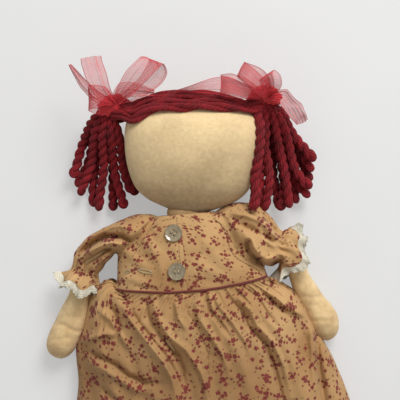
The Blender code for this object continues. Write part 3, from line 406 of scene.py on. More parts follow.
def lumps(points, size, seed=0):
    """Soft random heights from -1 to 1 at these points, for lumps of this size."""
    shift = Vector((seed * 7.3, seed * 3.1, seed * 5.7))
    flat = points.reshape(-1, 3)
    values = [noise.noise(Vector(p) / size + shift) for p in flat]
    return np.array(values).reshape(points.shape[:-1])


def only(obj):
    for other in bpy.context.selected_objects:
        other.select_set(False)
    obj.select_set(True)
    bpy.context.view_layer.objects.active = obj


def apply_modifier(obj, kind, **settings):
    only(obj)
    change = obj.modifiers.new(kind.title(), kind)
    for key, value in settings.items():
        setattr(change, key, value)
    bpy.ops.object.modifier_apply(modifier=change.name)


def lengths_along(grid, axis):
    steps = np.linalg.norm(np.diff(grid, axis=axis), axis=-1)
    zero = np.zeros_like(np.take(steps, [0], axis=axis))
    return np.concatenate([zero, np.cumsum(steps, axis=axis)], axis=axis)


def cloth_grid(name, grid, outward=True, rest=None, fanned=False, closed=False):
    """A grid of cloth laid through rows of points, with its open ends sewn shut if it is closed.

    Its UV map holds the cloth's own lengths in metres, taken from the grid at rest. A fanned grid is laid
    flat along the middle of its upper side, as the rings of a bent sleeve are.
    """
    rows, columns = grid.shape[:2]
    bpy.ops.mesh.primitive_grid_add(x_subdivisions=columns - 1, y_subdivisions=rows - 1, size=1)
    obj = bpy.context.object
    obj.name = obj.data.name = name
    mesh = obj.data
    mesh.vertices.foreach_set("co", grid.reshape(-1))
    rest = grid if rest is None else rest
    across = lengths_along(rest, 1)
    middle = columns // 4 if fanned else columns // 2
    across = across - across[:, [middle]]
    if fanned:
        step = rest[:, middle + 1, :2] - rest[:, middle - 1, :2]
        step /= np.linalg.norm(step, axis=1, keepdims=True)
        flat = rest[:, [middle], :2] + step[:, None, :] * across[..., None]
    else:
        down = np.repeat(lengths_along(rest, 0)[:, [middle]], columns, axis=1)
        flat = np.stack([across, down], axis=-1)
    flat = flat.reshape(-1, 2)
    corners = np.zeros(len(mesh.loops), int)
    mesh.loops.foreach_get("vertex_index", corners)
    mesh.uv_layers.active.data.foreach_set("uv", flat[corners].reshape(-1))
    only(obj)
    bpy.ops.object.mode_set(mode="EDIT")
    bpy.ops.mesh.select_all(action="SELECT")
    bpy.ops.mesh.remove_doubles(threshold=2e-6)
    if closed:
        bpy.ops.mesh.fill_holes(sides=0)
    if outward:
        bpy.ops.mesh.normals_make_consistent(inside=False)
    bpy.ops.object.mode_set(mode="OBJECT")
    bpy.ops.object.shade_smooth()
    return obj


def ring_angles(sides):
    return np.linspace(0, math.tau, sides + 1)


def oval_ring(centre, across, up, half_width, half_depth, angles, squareness=2.0):
    """Points round an oval, which grows squarer as its squareness passes 2."""
    power = 2 / squareness
    c, s = np.cos(angles), np.sin(angles)
    x = np.sign(c) * np.abs(c) ** power * half_width
    z = np.sign(s) * np.abs(s) ** power * half_depth
    return np.array(centre) + np.outer(x, across) + np.outer(z, up)


def heading_across(degrees):
    angle = math.radians(degrees)
    return np.array((-math.sin(angle), math.cos(angle), 0))


GOODS = {}
UP = np.array((0.0, 0.0, 1.0))
ALONG = np.array((0.0, 1.0, 0.0))
ACROSS = np.array((1.0, 0.0, 0.0))


# Materials


class Wire:
    """One value among a material's nodes, so that sums can be written with it."""

    def __init__(self, recipe, socket):
        self.recipe = recipe
        self.socket = socket

    def maths(self, operation, *values):
        return self.recipe.node("Math", {"operation": operation}, dict(enumerate(values)))

    def __add__(self, other):
        return self.maths("ADD", self, other)

    def __sub__(self, other):
        return self.maths("SUBTRACT", self, other)

    def __rsub__(self, other):
        return self.maths("SUBTRACT", other, self)

    def __mul__(self, other):
        return self.maths("MULTIPLY", self, other)

    def __truediv__(self, other):
        return self.maths("DIVIDE", self, other)

    __radd__ = __add__
    __rmul__ = __mul__

    def clamped(self):
        return self.maths("MINIMUM", self.maths("MAXIMUM", self, 0.0), 1.0)

    def sine(self):
        return self.maths("SINE", self)

    def cosine(self):
        return self.maths("COSINE", self)

    def over(self, level):
        return self.maths("GREATER_THAN", self, level)


class Recipe:
    """The nodes of one material."""

    def __init__(self, name):
        self.material = bpy.data.materials.new(name)
        self.material.use_nodes = True
        self.tree = self.material.node_tree
        self.shader = self.tree.nodes["Principled BSDF"]

    def node(self, kind, settings=None, sockets=None, output=0):
        made = self.tree.nodes.new("ShaderNode" + kind)
        for key, value in (settings or {}).items():
            setattr(made, key, value)
        for key, value in (sockets or {}).items():
            self.feed(made.inputs[key], value)
        return Wire(self, made.outputs[output])

    def feed(self, socket, value):
        if isinstance(value, Wire):
            self.tree.links.new(value.socket, socket)
        else:
            socket.default_value = value

    def set(self, **values):
        for key, value in values.items():
            self.feed(self.shader.inputs[key.replace("_", " ").title().replace("Ior", "IOR")], value)

    def vector(self, operation, *values, output=0):
        return self.node("VectorMath", {"operation": operation}, dict(enumerate(values)), output)

    def scaled(self, vector, amount):
        return self.node("VectorMath", {"operation": "SCALE"}, {0: vector, "Scale": amount})

    def cloth_place(self):
        """The place on the cloth, in millimetres."""
        return self.scaled(self.node("TexCoord", output="UV"), 1000.0)

    def object_place(self):
        """The place on the doll, in millimetres."""
        return self.scaled(self.node("TexCoord", output="Object"), 1000.0)

    def parts(self, vector):
        split = self.node("SeparateXYZ", None, {0: vector})
        return [Wire(self, out) for out in split.socket.node.outputs]

    def speckle(self, place, size, detail=2.0, output=0):
        sockets = {"Vector": place, "Scale": 1 / size, "Detail": detail}
        return self.node("TexNoise", {"noise_dimensions": "3D"}, sockets, output)

    def mixed(self, factor, first, second):
        sockets = {0: factor, 6: first, 7: second}
        return self.node("Mix", {"data_type": "RGBA"}, sockets, 2)

    def bump(self, height, distance):
        """Height from 0 to 1, and how deep that is in metres."""
        normal = self.node("Bump", None, {"Strength": 1.0, "Distance": distance, "Height": height})
        self.set(normal=normal)


def tint(red, green, blue):
    """A colour as it shows on a screen, from 0 to 255, made linear."""
    out = []
    for value in (red, green, blue):
        share = value / 255
        out.append(share / 12.92 if share <= 0.04045 else ((share + 0.055) / 1.055) ** 2.4)
    return (*out, 1.0)


def weave(recipe, place, thread):
    """Crossed threads of this width in millimetres, as a height from 0 to 1."""
    x, y, _ = recipe.parts(place)
    turn = math.pi / thread
    over = (x * turn).sine() * (y * turn).sine()
    return over * 0.5 + 0.5


def muslin(name, light, dark, light_y, dark_y, patch=26.0, stains=1.0):
    """Tea-stained muslin, darker towards one end of the piece; on the head that darkening is partly stain and
    partly painted shade.
    """
    recipe = Recipe(name)
    place = recipe.object_place()
    _, y, _ = recipe.parts(place)
    # How far a place lies towards the dark end: on the head this is partly painted shade of light from above,
    # partly stain.
    share = ((y - light_y) / (dark_y - light_y)).clamped()
    stain = recipe.speckle(place, patch, 3.0)
    fine = recipe.speckle(place, 3.0, 3.0)
    amount = (share * 0.75 + (stain - 0.5) * stains + (fine - 0.5) * 0.35).clamped()
    colour = recipe.mixed(amount, light, dark)
    slub = recipe.speckle(recipe.vector("MULTIPLY", place, (0.25, 3.0, 1.0)), 1.0, 2.0)
    colour = recipe.mixed((slub - 0.55).clamped() * 1.2, colour, tint(150, 108, 62))
    recipe.set(base_color=colour, roughness=0.92, sheen_weight=0.15, sheen_roughness=0.6)
    height = weave(recipe, place, 0.42) * 0.6 + fine * 0.8 + slub * 0.4
    recipe.bump(height, 0.00022)
    return recipe.material


def calico(name, deeper):
    """Tan cotton with small burgundy flowers, buds and olive leaves, strewn all over."""
    recipe = Recipe(name)
    flat = recipe.cloth_place()
    wander = recipe.scaled(recipe.vector("SUBTRACT", recipe.speckle(flat, 2.2, 1.0, 1), (0.5, 0.5, 0.5)), 1.0)
    place = recipe.vector("ADD", flat, wander)

    def nearest(size, shift, randomness):
        moved = recipe.vector("ADD", place, shift)
        sockets = {"Vector": moved, "Scale": 1 / size, "Randomness": randomness}
        chance = recipe.node("TexVoronoi", {"voronoi_dimensions": "2D"}, sockets, 1)
        spot = Wire(recipe, chance.socket.node.outputs["Position"])
        return recipe.parts(chance), recipe.vector("SUBTRACT", moved, spot)

    def blot(away, radius):
        distance = recipe.vector("LENGTH", away, output=1)
        return ((radius - distance) / 0.55).clamped()

    def placed(away, turn, reach):
        offset = recipe.node("CombineXYZ", None, {0: turn.cosine() * reach, 1: turn.sine() * reach})
        return recipe.vector("SUBTRACT", away, offset)

    stain = recipe.speckle(recipe.object_place(), 46.0, 3.0)
    colour = recipe.mixed(((stain - 0.32) * 2.4).clamped(), tint(212, 171, 117), tint(176, 132, 82))
    # The skirt grows darker below the waist, fading out towards the doll's left: partly tea stain, partly
    # painted shade.
    if deeper:
        x, y, _ = recipe.parts(recipe.object_place())
        shade = ((72.0 - y) / 60.0).clamped() * ((120.0 - x) / 80.0).clamped()
        colour = recipe.mixed(shade * 0.6, colour, tint(146, 104, 62))
    olive, burgundy, rose = tint(112, 92, 50), tint(104, 24, 28), tint(150, 58, 54)

    # Leaves and dots strewn between the flowers
    (chance, size, _), away = nearest(5.4, (3.1, 8.4, 0), 0.9)
    x, y, _ = recipe.parts(away)
    slim = recipe.node("CombineXYZ", None, {0: x + y * 0.6, 1: y * 1.5 - x * 0.7})
    colour = recipe.mixed(blot(slim, size * 0.6 + 0.75) * chance.over(0.5) * 0.65, colour, olive)
    (chance, size, _), away = nearest(6.2, (31.0, 2.2, 0), 1.0)
    colour = recipe.mixed(blot(away, size * 0.6 + 0.75) * chance.over(0.5) * 0.8, colour, burgundy)

    # Single flowers, then sprays of a flower with its buds
    shade = recipe.speckle(place, 1.1, 2.0)
    ink = recipe.mixed(((shade - 0.44) * 5.0).clamped(), burgundy, rose)
    worn = ((shade - 0.22) * 5.0).clamped() * 0.35 + 0.62
    (chance, size, _), away = nearest(10.0, (11.0, 47.0, 0), 0.85)
    x, y, _ = recipe.parts(away)
    angle = recipe.node("Math", {"operation": "ARCTAN2"}, {0: y, 1: x})
    petals = (angle * 5.0 + chance * math.tau).cosine() * 0.16 + 1.0
    single = blot(away, (size * 0.7 + 1.3) * petals) * chance.over(0.25)
    colour = recipe.mixed(single * worn, colour, ink)
    for cell, shift, grow in ((16.0, (0, 0, 0), 0.95), (21.0, (57.0, 23.0, 0), 0.9)):
        (chance, size, _), away = nearest(cell, shift, 0.75)
        x, y, _ = recipe.parts(away)
        angle = recipe.node("Math", {"operation": "ARCTAN2"}, {0: y, 1: x})
        petals = (angle * 5.0 + chance * math.tau).cosine() * 0.14 + 1.0
        flower = blot(away, (size * 0.5 + 1.9) * petals * grow)
        for number, (reach, width) in enumerate(((3.3, 1.55), (3.5, 1.35), (3.2, 1.3), (4.3, 1.0))):
            turn = chance * 19.0 + (1.5 * number + 0.3)
            flower = flower.maths("MAXIMUM", flower, blot(placed(away, turn, reach * grow), width * grow))
        colour = recipe.mixed(flower * worn, colour, ink)

    threads = weave(recipe, flat, 0.36)
    colour = recipe.mixed((threads - 0.5) * 0.16 + 0.06, colour, tint(120, 84, 50))
    recipe.set(base_color=colour, roughness=0.9, sheen_weight=0.06, sheen_roughness=0.5)
    recipe.bump(threads * 0.5 + recipe.speckle(flat, 4.0, 3.0) * 0.9, 0.00022)
    return recipe.material


def yarn():
    """Crimson wool, its fibres running along the ply."""
    recipe = Recipe("wool_yarn")
    place = recipe.cloth_place()
    x, y, _ = recipe.parts(place)
    lay = (x * 2.6 + y * 1.7).sine() * 0.5 + 0.5
    fibre = recipe.speckle(recipe.vector("MULTIPLY", place, (1.0, 0.22, 1.0)), 0.35, 3.0)
    patch = recipe.speckle(recipe.object_place(), 9.0, 2.0)
    amount = (fibre * 0.9 + patch * 0.9 + lay * 0.3 - 0.62).clamped()
    colour = recipe.mixed(amount, tint(66, 4, 12), tint(172, 20, 32))
    recipe.set(base_color=colour, roughness=0.92, sheen_weight=0.08, sheen_roughness=0.4)
    recipe.shader.inputs["Sheen Tint"].default_value = tint(220, 60, 70)
    recipe.bump(fibre * 0.9 + lay * 0.6, 0.0007)
    return recipe.material


def tulle(name, base, folded):
    """Sheer red net, denser where it turns away from the floor's plane."""
    recipe = Recipe(name)
    place = recipe.cloth_place()
    x, y, _ = recipe.parts(place)
    turn = math.pi / 0.70
    strands = None
    for tilt, rise in ((1.0, 0.58), (1.0, -0.58), (0.0, 1.16)):
        wave = (x * (turn * tilt) + y * (turn * rise)).sine()
        wave = wave.maths("ABSOLUTE", wave)
        strands = wave if strands is None else wave.maths("MINIMUM", wave, strands)
    thread = ((0.42 - strands) * 5.0).clamped()
    crumple = recipe.speckle(place, 5.0, 2.0)
    normal = recipe.node("TexCoord", output="Normal")
    _, _, facing = recipe.parts(normal)
    steep = 1.0 - facing.maths("ABSOLUTE", facing)
    recipe.set(base_color=recipe.mixed(crumple, tint(190, 18, 34), tint(222, 56, 66)), roughness=0.6)
    recipe.set(alpha=(thread * 0.22 + base + steep * folded + crumple * 0.12).clamped(), sheen_weight=0.2)
    return recipe.material


def lace():
    """Cream cotton lace with small eyelets."""
    recipe = Recipe("cotton_lace")
    place = recipe.cloth_place()
    sockets = {"Vector": place, "Scale": 1 / 1.25, "Randomness": 0.25}
    eye = recipe.node("TexVoronoi", {"voronoi_dimensions": "2D"}, sockets)
    hole = ((0.32 - eye) * 9.0).clamped()
    fibre = recipe.speckle(place, 0.5, 2.0)
    colour = recipe.mixed(fibre, tint(255, 253, 238), tint(244, 232, 200))
    recipe.set(base_color=colour, roughness=0.9, alpha=1.0 - hole * 0.6)
    recipe.bump(eye * 1.2 + fibre * 0.3, 0.0005)
    return recipe.material


# Dark red twill for the waist cord: partly the piping's colour, partly painted shade of the seam.
def piping_and_seam_shade():
    recipe = Recipe("piping_twill_and_seam_shade")
    place = recipe.cloth_place()
    x, y, _ = recipe.parts(place)
    twill = ((x + y) * 5.2).sine() * 0.5 + 0.5
    fibre = recipe.speckle(place, 0.6, 2.0)
    colour = recipe.mixed((twill * 0.6 + fibre * 0.5).clamped(), tint(78, 26, 24), tint(140, 56, 46))
    recipe.set(base_color=colour, roughness=0.8, sheen_weight=0.1)
    recipe.bump(twill * 0.8 + fibre * 0.5, 0.0003)
    return recipe.material


def shell_button():
    """Clouded grey-brown, half clear, with a soft shine."""
    recipe = Recipe("shell_button")
    place = recipe.object_place()
    swirl = recipe.speckle(recipe.vector("MULTIPLY", place, (1.0, 0.35, 1.0)), 1.6, 3.0)
    colour = recipe.mixed(((swirl - 0.3) * 1.6).clamped(), tint(190, 174, 142), tint(128, 110, 82))
    recipe.set(base_color=colour, roughness=0.20, coat_weight=0.6, coat_roughness=0.10)
    recipe.shader.inputs["Transmission Weight"].default_value = 0.35
    recipe.bump(swirl, 0.00006)
    return recipe.material


def thread_cotton(name, light, dark):
    recipe = Recipe(name)
    place = recipe.object_place()
    x, y, z = recipe.parts(place)
    lay = ((x + y + z) * 9.0).sine() * 0.5 + 0.5
    recipe.set(base_color=recipe.mixed(lay, light, dark), roughness=0.75, sheen_weight=0.1)
    recipe.bump(lay, 0.00015)
    return recipe.material


# Stuffed pieces


def limb_grid(rows, count, sides, squareness=2.0):
    """Rings round a limb, from rows of X, Y, heading, half width, half depth and height."""
    rings = []
    for x, y, heading, width, depth, z in flowing(rows, count):
        rings.append(
            oval_ring((x, y, z), heading_across(heading), UP, width, depth, ring_angles(sides), squareness)
        )
    return np.array(rings)


def rest_on_floor(grid):
    """Stuffing that is pressed flat where it lies, with a soft turn at the edge."""
    z = grid[..., 2]
    soft = 0.0009
    grid[..., 2] = np.where(z < soft * 2, soft * 2 * np.exp((z - soft * 2) / (soft * 2)), z)
    return grid


def crease(grid, place, run, depth, width, reach):
    """Presses a crease into a limb's upper side across the line from a place along a run."""
    centre = np.array((*place, 0.0))
    direction = np.array((*run, 0.0)) / np.hypot(*run)
    away = grid - centre
    along = away[..., 0] * direction[0] + away[..., 1] * direction[1]
    side = away[..., 0] * -direction[1] + away[..., 1] * direction[0]
    bend = side + 0.0016 * np.sin(along * 260)
    amount = np.exp(-((bend / width) ** 2)) * np.exp(-((along / reach) ** 4))
    top = smooth((grid[..., 2] - 0.008) / 0.008)
    grid[..., 2] -= depth * amount * top
    return grid


def make_head():
    lean = math.radians(HEAD_LEAN)
    across = np.array((math.cos(lean), math.sin(lean), 0))
    up_head = np.array((-math.sin(lean), math.cos(lean), 0))
    start = np.array((HEAD_X, NECK_Y, TORSO_Z))
    rise = HEAD_Z - TORSO_Z
    angles = ring_angles(120)
    rings = []
    for share, width, depth in flowing(HEAD_ROWS, 96):
        centre = start + up_head * (HEAD_HEIGHT * min(share, 1)) + UP * (rise * float(smooth(share * 4)))
        half_width, half_depth = HEAD_HALF_WIDTH * max(width, 0.003), HEAD_HALF_DEPTH * max(depth, 0.003)
        rings.append(oval_ring(centre, across, UP, half_width, half_depth, angles, 2.25))
    grid = np.array(rings)
    from_side = np.minimum(angles % math.pi, math.pi - angles % math.pi)
    seam = np.exp(-((from_side / 0.035) ** 2))
    outward = grid - grid.mean(axis=1, keepdims=True)
    outward /= np.maximum(np.linalg.norm(outward, axis=-1, keepdims=True), 1e-6)
    grid -= outward * (0.0006 * seam[None, :, None])
    grid[..., 2] += 0.0007 * lumps(grid, 0.030, 1)
    gathers = np.exp(-(((grid[..., 1] - NECK_Y) / 0.007) ** 2)) * np.cos(grid[..., 0] * 1100)
    grid[..., 2] += 0.00015 * gathers * smooth((grid[..., 2] - TORSO_Z) / 0.006)
    head = cloth_grid("head_stuffed", rest_on_floor(grid), closed=True)
    # Pale at the crown and dark brown at the chin: partly tea stain, partly painted shade of light falling
    # from above.
    cloth = muslin("muslin_head", tint(240, 212, 160), tint(126, 94, 60), 204.0, 120.0, stains=0.55)
    head.data.materials.append(cloth)
    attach(head, "head")
    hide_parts("head")
    return head


def make_torso():
    rings = []
    for share, width, depth, rise in flowing(TORSO_ROWS, 60):
        y = HIP_Y + (NECK_Y - HIP_Y) * share
        z = HIP_Z + (TORSO_Z - HIP_Z) * min(max(rise, 0), 1)
        rings.append(oval_ring((0, y, z), ACROSS, UP, width, depth, ring_angles(72), 2.2))
    for share in (0.35, 0.7, 0.92, 0.999):
        width = math.sqrt(1 - share * share)
        centre = (0, NECK_Y + NECK_HALF_DEPTH * share, TORSO_Z)
        half_width, half_depth = NECK_HALF_WIDTH * width, NECK_HALF_DEPTH * width
        rings.append(oval_ring(centre, ACROSS, UP, half_width, half_depth, ring_angles(72)))
    torso = cloth_grid("torso_stuffed", np.array(rings), closed=True)
    torso.data.materials.append(
        muslin("muslin_body", tint(226, 190, 136), tint(178, 138, 90), 90.0, 140.0)
    )
    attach(torso, "body")
    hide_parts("torso")


def make_arm(side, rows, folds):
    grid = limb_grid(rows, 90, 56, 2.1)
    swell = 0.0006 * lumps(grid, 0.011, 3) + 0.0003 * lumps(grid, 0.005, 5)
    grid[..., 2] += swell
    for place, run, depth, width, reach in folds:
        grid = crease(grid, place, run, depth, width, reach)
    grid = rest_on_floor(grid)
    arm = cloth_grid(f"arm_{side}_stuffed", grid, closed=True)
    arm.data.materials.append(GOODS["muslin_limb"])
    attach(arm, f"arm_{side}")
    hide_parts(f"arm_{side}")


def make_leg(side):
    sign = 1 if side == "left" else -1
    rings = []
    for distance, width, depth, z in flowing(LEG_ROWS, 110):
        depth, width = max(depth, 0.0003), max(width, 0.0005)
        z = max(z, depth - 0.0004)
        centre = (sign * LEG_X, LEG_START_Y - distance, z)
        rings.append(oval_ring(centre, ACROSS, UP, width, depth, ring_angles(64), 2.2))
    grid = np.array(rings)
    grid[..., 2] += 0.0005 * lumps(grid, 0.014, 8 + sign)
    grid = rest_on_floor(grid)
    leg = cloth_grid(f"leg_{side}_stuffed", grid, closed=True)
    leg.data.materials.append(GOODS["muslin_limb"])
    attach(leg, f"leg_{side}")
    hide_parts(f"leg_{side}")


# Dress


def torso_at(y):
    share = (y - HIP_Y) / (NECK_Y - HIP_Y)
    width, depth, rise = at_share(TORSO_ROWS, share)
    return width, depth, HIP_Z + (TORSO_Z - HIP_Z) * rise


def bodice_at(y):
    """Half width, half depth and middle of the dress's upper part at a height on the doll."""
    width, depth, middle = torso_at(y)
    share = (y - WAIST_Y) / (0.1225 - WAIST_Y)
    width = width + 0.0098 * np.interp(share, (0, 0.18, 0.36, 0.5, 0.6), (1, 0.86, 0.36, 0.08, 0))
    top = flowing(BODICE_ROWS, 60)
    above = y > top[0, 0]
    width = np.where(above, np.interp(y, top[:, 0], top[:, 1]), width)
    depth = np.where(above, np.interp(y, top[:, 0], top[:, 2]), depth)
    return width, depth, middle


def side_reach(y):
    fine = flowing(BODICE_SIDE, 60)
    return np.interp(y, fine[:, 0], fine[:, 1])


def bodice_ring(y, angles, lift):
    """The bodice's outline at one height on the doll, a little off the torso."""
    width, depth, middle = bodice_at(y)
    ring = oval_ring((0, y, middle), ACROSS, UP, width + lift, depth + lift, angles, DRESS_SQUARENESS)
    extra = max(side_reach(y) - width - lift, 0)
    ring[:, 0] -= extra * np.clip(-ring[:, 0] / (width + lift), 0, 1) ** 4
    return ring


def angle_for(y, x):
    """The angle round the bodice's front where it passes this X."""
    part = max(min(x / (bodice_at(y)[0] + DRESS_REACH), 1), -1)
    return math.acos(math.copysign(abs(part) ** 1.15, part))


def add_folds(grid, folds, blur=1.0):
    """How high long folds stand, each given as height, half width and places in millimetres."""
    flat = grid[..., :2] / MM
    lift = np.zeros(grid.shape[:2])
    for height, width, path in folds:
        best = np.full(grid.shape[:2], 1e9)
        where = np.zeros(grid.shape[:2])
        path = np.array(path, float)
        runs = len(path) - 1
        for i in range(runs):
            a, b = path[i], path[i + 1]
            run = b - a
            t = np.clip(((flat - a) @ run) / (run @ run), 0, 1)
            gap = np.linalg.norm(flat - (a + t[..., None] * run), axis=-1)
            near = gap < best
            best = np.where(near, gap, best)
            where = np.where(near, (i + t) / runs, where)
        fade = smooth(where / 0.18) * smooth((1 - where) / 0.3) * 0.85 + 0.15
        lift += height * MM * np.exp(-((best / (width * blur)) ** 2)) * fade
    return lift


def make_bodice_panel(name, node, first, last, top, lift, folds, seed, columns):
    """One panel between two edges, each an angle for a height on the doll."""
    low = WAIST_Y + 0.0004
    grid = []
    for y in np.linspace(low, top, 64):
        grid.append(bodice_ring(y, np.linspace(first(y), last(y), columns), lift))
    grid = np.array(grid)
    front = smooth((grid[..., 2] - TORSO_Z) / 0.010)
    edge = smooth((grid[..., 1] - low) / 0.005) * smooth((top - grid[..., 1]) / 0.004)
    heights = add_folds(grid, folds)
    heights = heights + 0.0005 * lumps(grid, 0.012, seed) + 0.0002 * lumps(grid, 0.005, seed + 2)
    grid[..., 2] += np.maximum(heights, -0.0006) * front * (0.2 + 0.8 * edge)
    grid[..., 1] += waist_sag(grid[..., 0]) * (1 - smooth((grid[..., 1] - low) / 0.030))
    panel = cloth_grid(name, grid, outward=False)
    face_up(panel)
    apply_modifier(panel, "SOLIDIFY", thickness=CLOTH, offset=1.0)
    panel.data.materials.append(GOODS["calico"])
    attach(panel, "body")
    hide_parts(node)
    return panel


def face_up(obj):
    """Turns a sheet so that its outer side faces away from the doll's middle."""
    total = 0.0
    for face in obj.data.polygons:
        outward = Vector((face.center.x, 0, face.center.z - TORSO_Z)).normalized()
        total += face.area * face.normal.dot(outward)
    if total < 0:
        only(obj)
        bpy.ops.object.mode_set(mode="EDIT")
        bpy.ops.mesh.select_all(action="SELECT")
        bpy.ops.mesh.flip_normals()
        bpy.ops.object.mode_set(mode="OBJECT")


def make_bodice():
    under = make_bodice_panel(
        "bodice_front_under",
        "bodice_front_left",
        lambda y: 0.02,
        lambda y: angle_for(y, PLACKET_X - 0.014),
        NECKLINE_Y,
        UNDER_LIFT,
        BODICE_FOLDS_LEFT,
        11,
        90,
    )
    top = make_bodice_panel(
        "bodice_front_top",
        "bodice_front_right",
        lambda y: angle_for(y, PLACKET_X),
        lambda y: math.pi - 0.02,
        NECKLINE_Y,
        TOP_LIFT,
        BODICE_FOLDS_RIGHT,
        14,
        80,
    )
    make_bodice_panel(
        "bodice_back_panel",
        "bodice_back",
        lambda y: math.pi + 0.02,
        lambda y: math.tau - 0.02,
        BACK_NECKLINE_Y,
        BACK_LIFT,
        (),
        17,
        90,
    )
    return under, top


def waist_sag(x):
    """How far the waist seam bows above its lowest place, at a distance across the doll."""
    return 0.0050 * (x / 0.057) ** 2 - 0.0014


def fold_lift(share, across):
    """How far the main folds lift the skirt, in folds, at places in half widths from the middle."""
    places = [np.interp(share, SKIRT_FOLD_PLACES[:, 0], column) for column in SKIRT_FOLD_PLACES[:, 1:].T]
    lift = np.zeros_like(across)
    for rise, place in zip(SKIRT_FOLD_RISES, places):
        lift += rise * np.exp(-(((across - place) / 0.052) ** 2))
    return lift


def skirt_grid(rows, front_columns, back_columns, folded=1.0):
    """The skirt as rings from waist to hem: flat behind, draped and folded in front."""
    fine = flowing(SKIRT_ROWS, 400)
    rng = random.Random(5)
    gathers = [(math.pi * (i + rng.uniform(0.1, 0.9)) / 30, rng.uniform(0.3, 1.0)) for i in range(30)]
    angles = np.linspace(0, math.pi, front_columns)
    bump = np.sin(angles) ** 0.9
    puckers = np.zeros(front_columns)
    for place, size in gathers:
        puckers += size * np.exp(-(((angles - place) / 0.024) ** 2))
    rings = []
    for share in np.linspace(0, 1, rows):
        width, high, low, fold, drift = (np.interp(share, fine[:, 0], fine[:, i]) for i in range(1, 6))
        down = SKIRT_LENGTH * share
        gather = (puckers - 0.15) * 0.0036 * smooth(down / 0.004) * math.exp(-down / 0.021) * folded
        x = width * np.cos(angles) + drift
        z = low + (high - low) * bump
        rise = 0.0034 * fold * folded * smooth(down / 0.006)
        z += rise * fold_lift(share, np.cos(angles)) * np.minimum(1, 4 * bump)
        held = 1 - smooth(down / 0.013)
        z = z * (1 - held) + (TORSO_Z + half_height_of_bodice(x, WAIST_Y)) * held + gather
        y = SKIRT_TOP_Y + WAIST_SEAM - down * (1 + WAIST_SEAM / SKIRT_LENGTH)
        y = y + waist_sag(x) * math.exp(-down / 0.05)
        front = np.stack([x, y, z], axis=-1)
        across = np.linspace(-1, 1, back_columns + 2)[1:-1]
        y_back = np.interp(across, (-1, 1), (y[-1], y[0]))
        back = np.stack([across * width + drift, y_back, np.zeros_like(across)], axis=-1)
        ring = np.concatenate([front, back, front[:1]])
        puffed = down / 0.007 * math.exp(1 - down / 0.007)
        ring[:, 1] += 0.0115 * puffed * smooth((-ring[:, 0] - 0.050) / 0.014) * folded
        rings.append(ring)
    return np.array(rings)


def make_skirt():
    grid = skirt_grid(200, 460, 90)
    rest = skirt_grid(200, 460, 90, 0.0)
    front = smooth((grid[..., 2] - 0.006) / 0.012)
    start = smooth((SKIRT_TOP_Y - grid[..., 1]) / 0.008)
    lift = 2.1 * add_folds(grid, SKIRT_FOLDS, 0.80)
    for height, size, seed in ((0.0008, 0.020, 21), (0.0005, 0.009, 23), (0.00016, 0.004, 25)):
        lift += height * lumps(grid, size, seed)
    grid[..., 2] += lift * front * (0.15 + 0.85 * start)
    seam = np.array(SKIRT_SEAM) * MM
    away = grid[..., 0] - np.interp(grid[..., 1], seam[:, 1], seam[:, 0])
    pucker = 1 + 0.4 * np.sin(grid[..., 1] * 1100)
    dip = np.exp(-((away / 0.0007) ** 2))
    dip -= 0.4 * smooth(-away / 0.0006) * np.exp(-(((away + 0.0025) / 0.002) ** 2))
    grid[..., 2] -= 0.0010 * dip * front * pucker
    grid[..., 2] = np.maximum(grid[..., 2], 0.0)
    skirt = cloth_grid("skirt_gathered", grid, rest=rest)
    apply_modifier(skirt, "SOLIDIFY", thickness=CLOTH, offset=-1.0)
    skirt.data.materials.append(GOODS["calico_skirt"])
    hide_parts("skirt")
    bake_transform(skirt)


def make_piping_and_seam_shadow():
    """A thin dark red cord along the waist seam, bowed with it: narrow piping, its dark line partly a painted
    shadow of the seam.
    """
    path = flowing(skirt_grid(3, 240, 50)[0][:-1], 480)
    path[:, 1] += 0.0003
    path[:, 2] = np.where(path[:, 2] > 0.004, path[:, 2] + 0.0006, 0.0012)
    sunk = lumps(path[None], 0.009, 41)[0]
    path[:, 2] += np.where(path[:, 2] > 0.010, 0.0005 * sunk, 0)
    path[:, 1] += 0.0004 * lumps(path[None], 0.012, 43)[0]
    path = np.concatenate([path[-6:], path, path[:6]])
    path = np.stack([np.convolve(path[:, i], np.ones(5) / 5, mode="same") for i in range(3)], axis=1)[6:-6]
    count = len(path)
    rings = []
    for i, point in enumerate(path):
        tangent = path[(i + 1) % count] - path[i - 1]
        tangent /= max(np.linalg.norm(tangent), 1e-9)
        outward = np.cross(ALONG, tangent)
        rings.append(oval_ring(point, outward, ALONG, 0.0010, 0.0009, ring_angles(12)))
    piping = cloth_grid("waist_piping_and_seam_shadow", np.array(rings + rings[:1]))
    piping.data.materials.append(GOODS["trim"])
    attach(piping, "body")
    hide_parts("waist_piping")


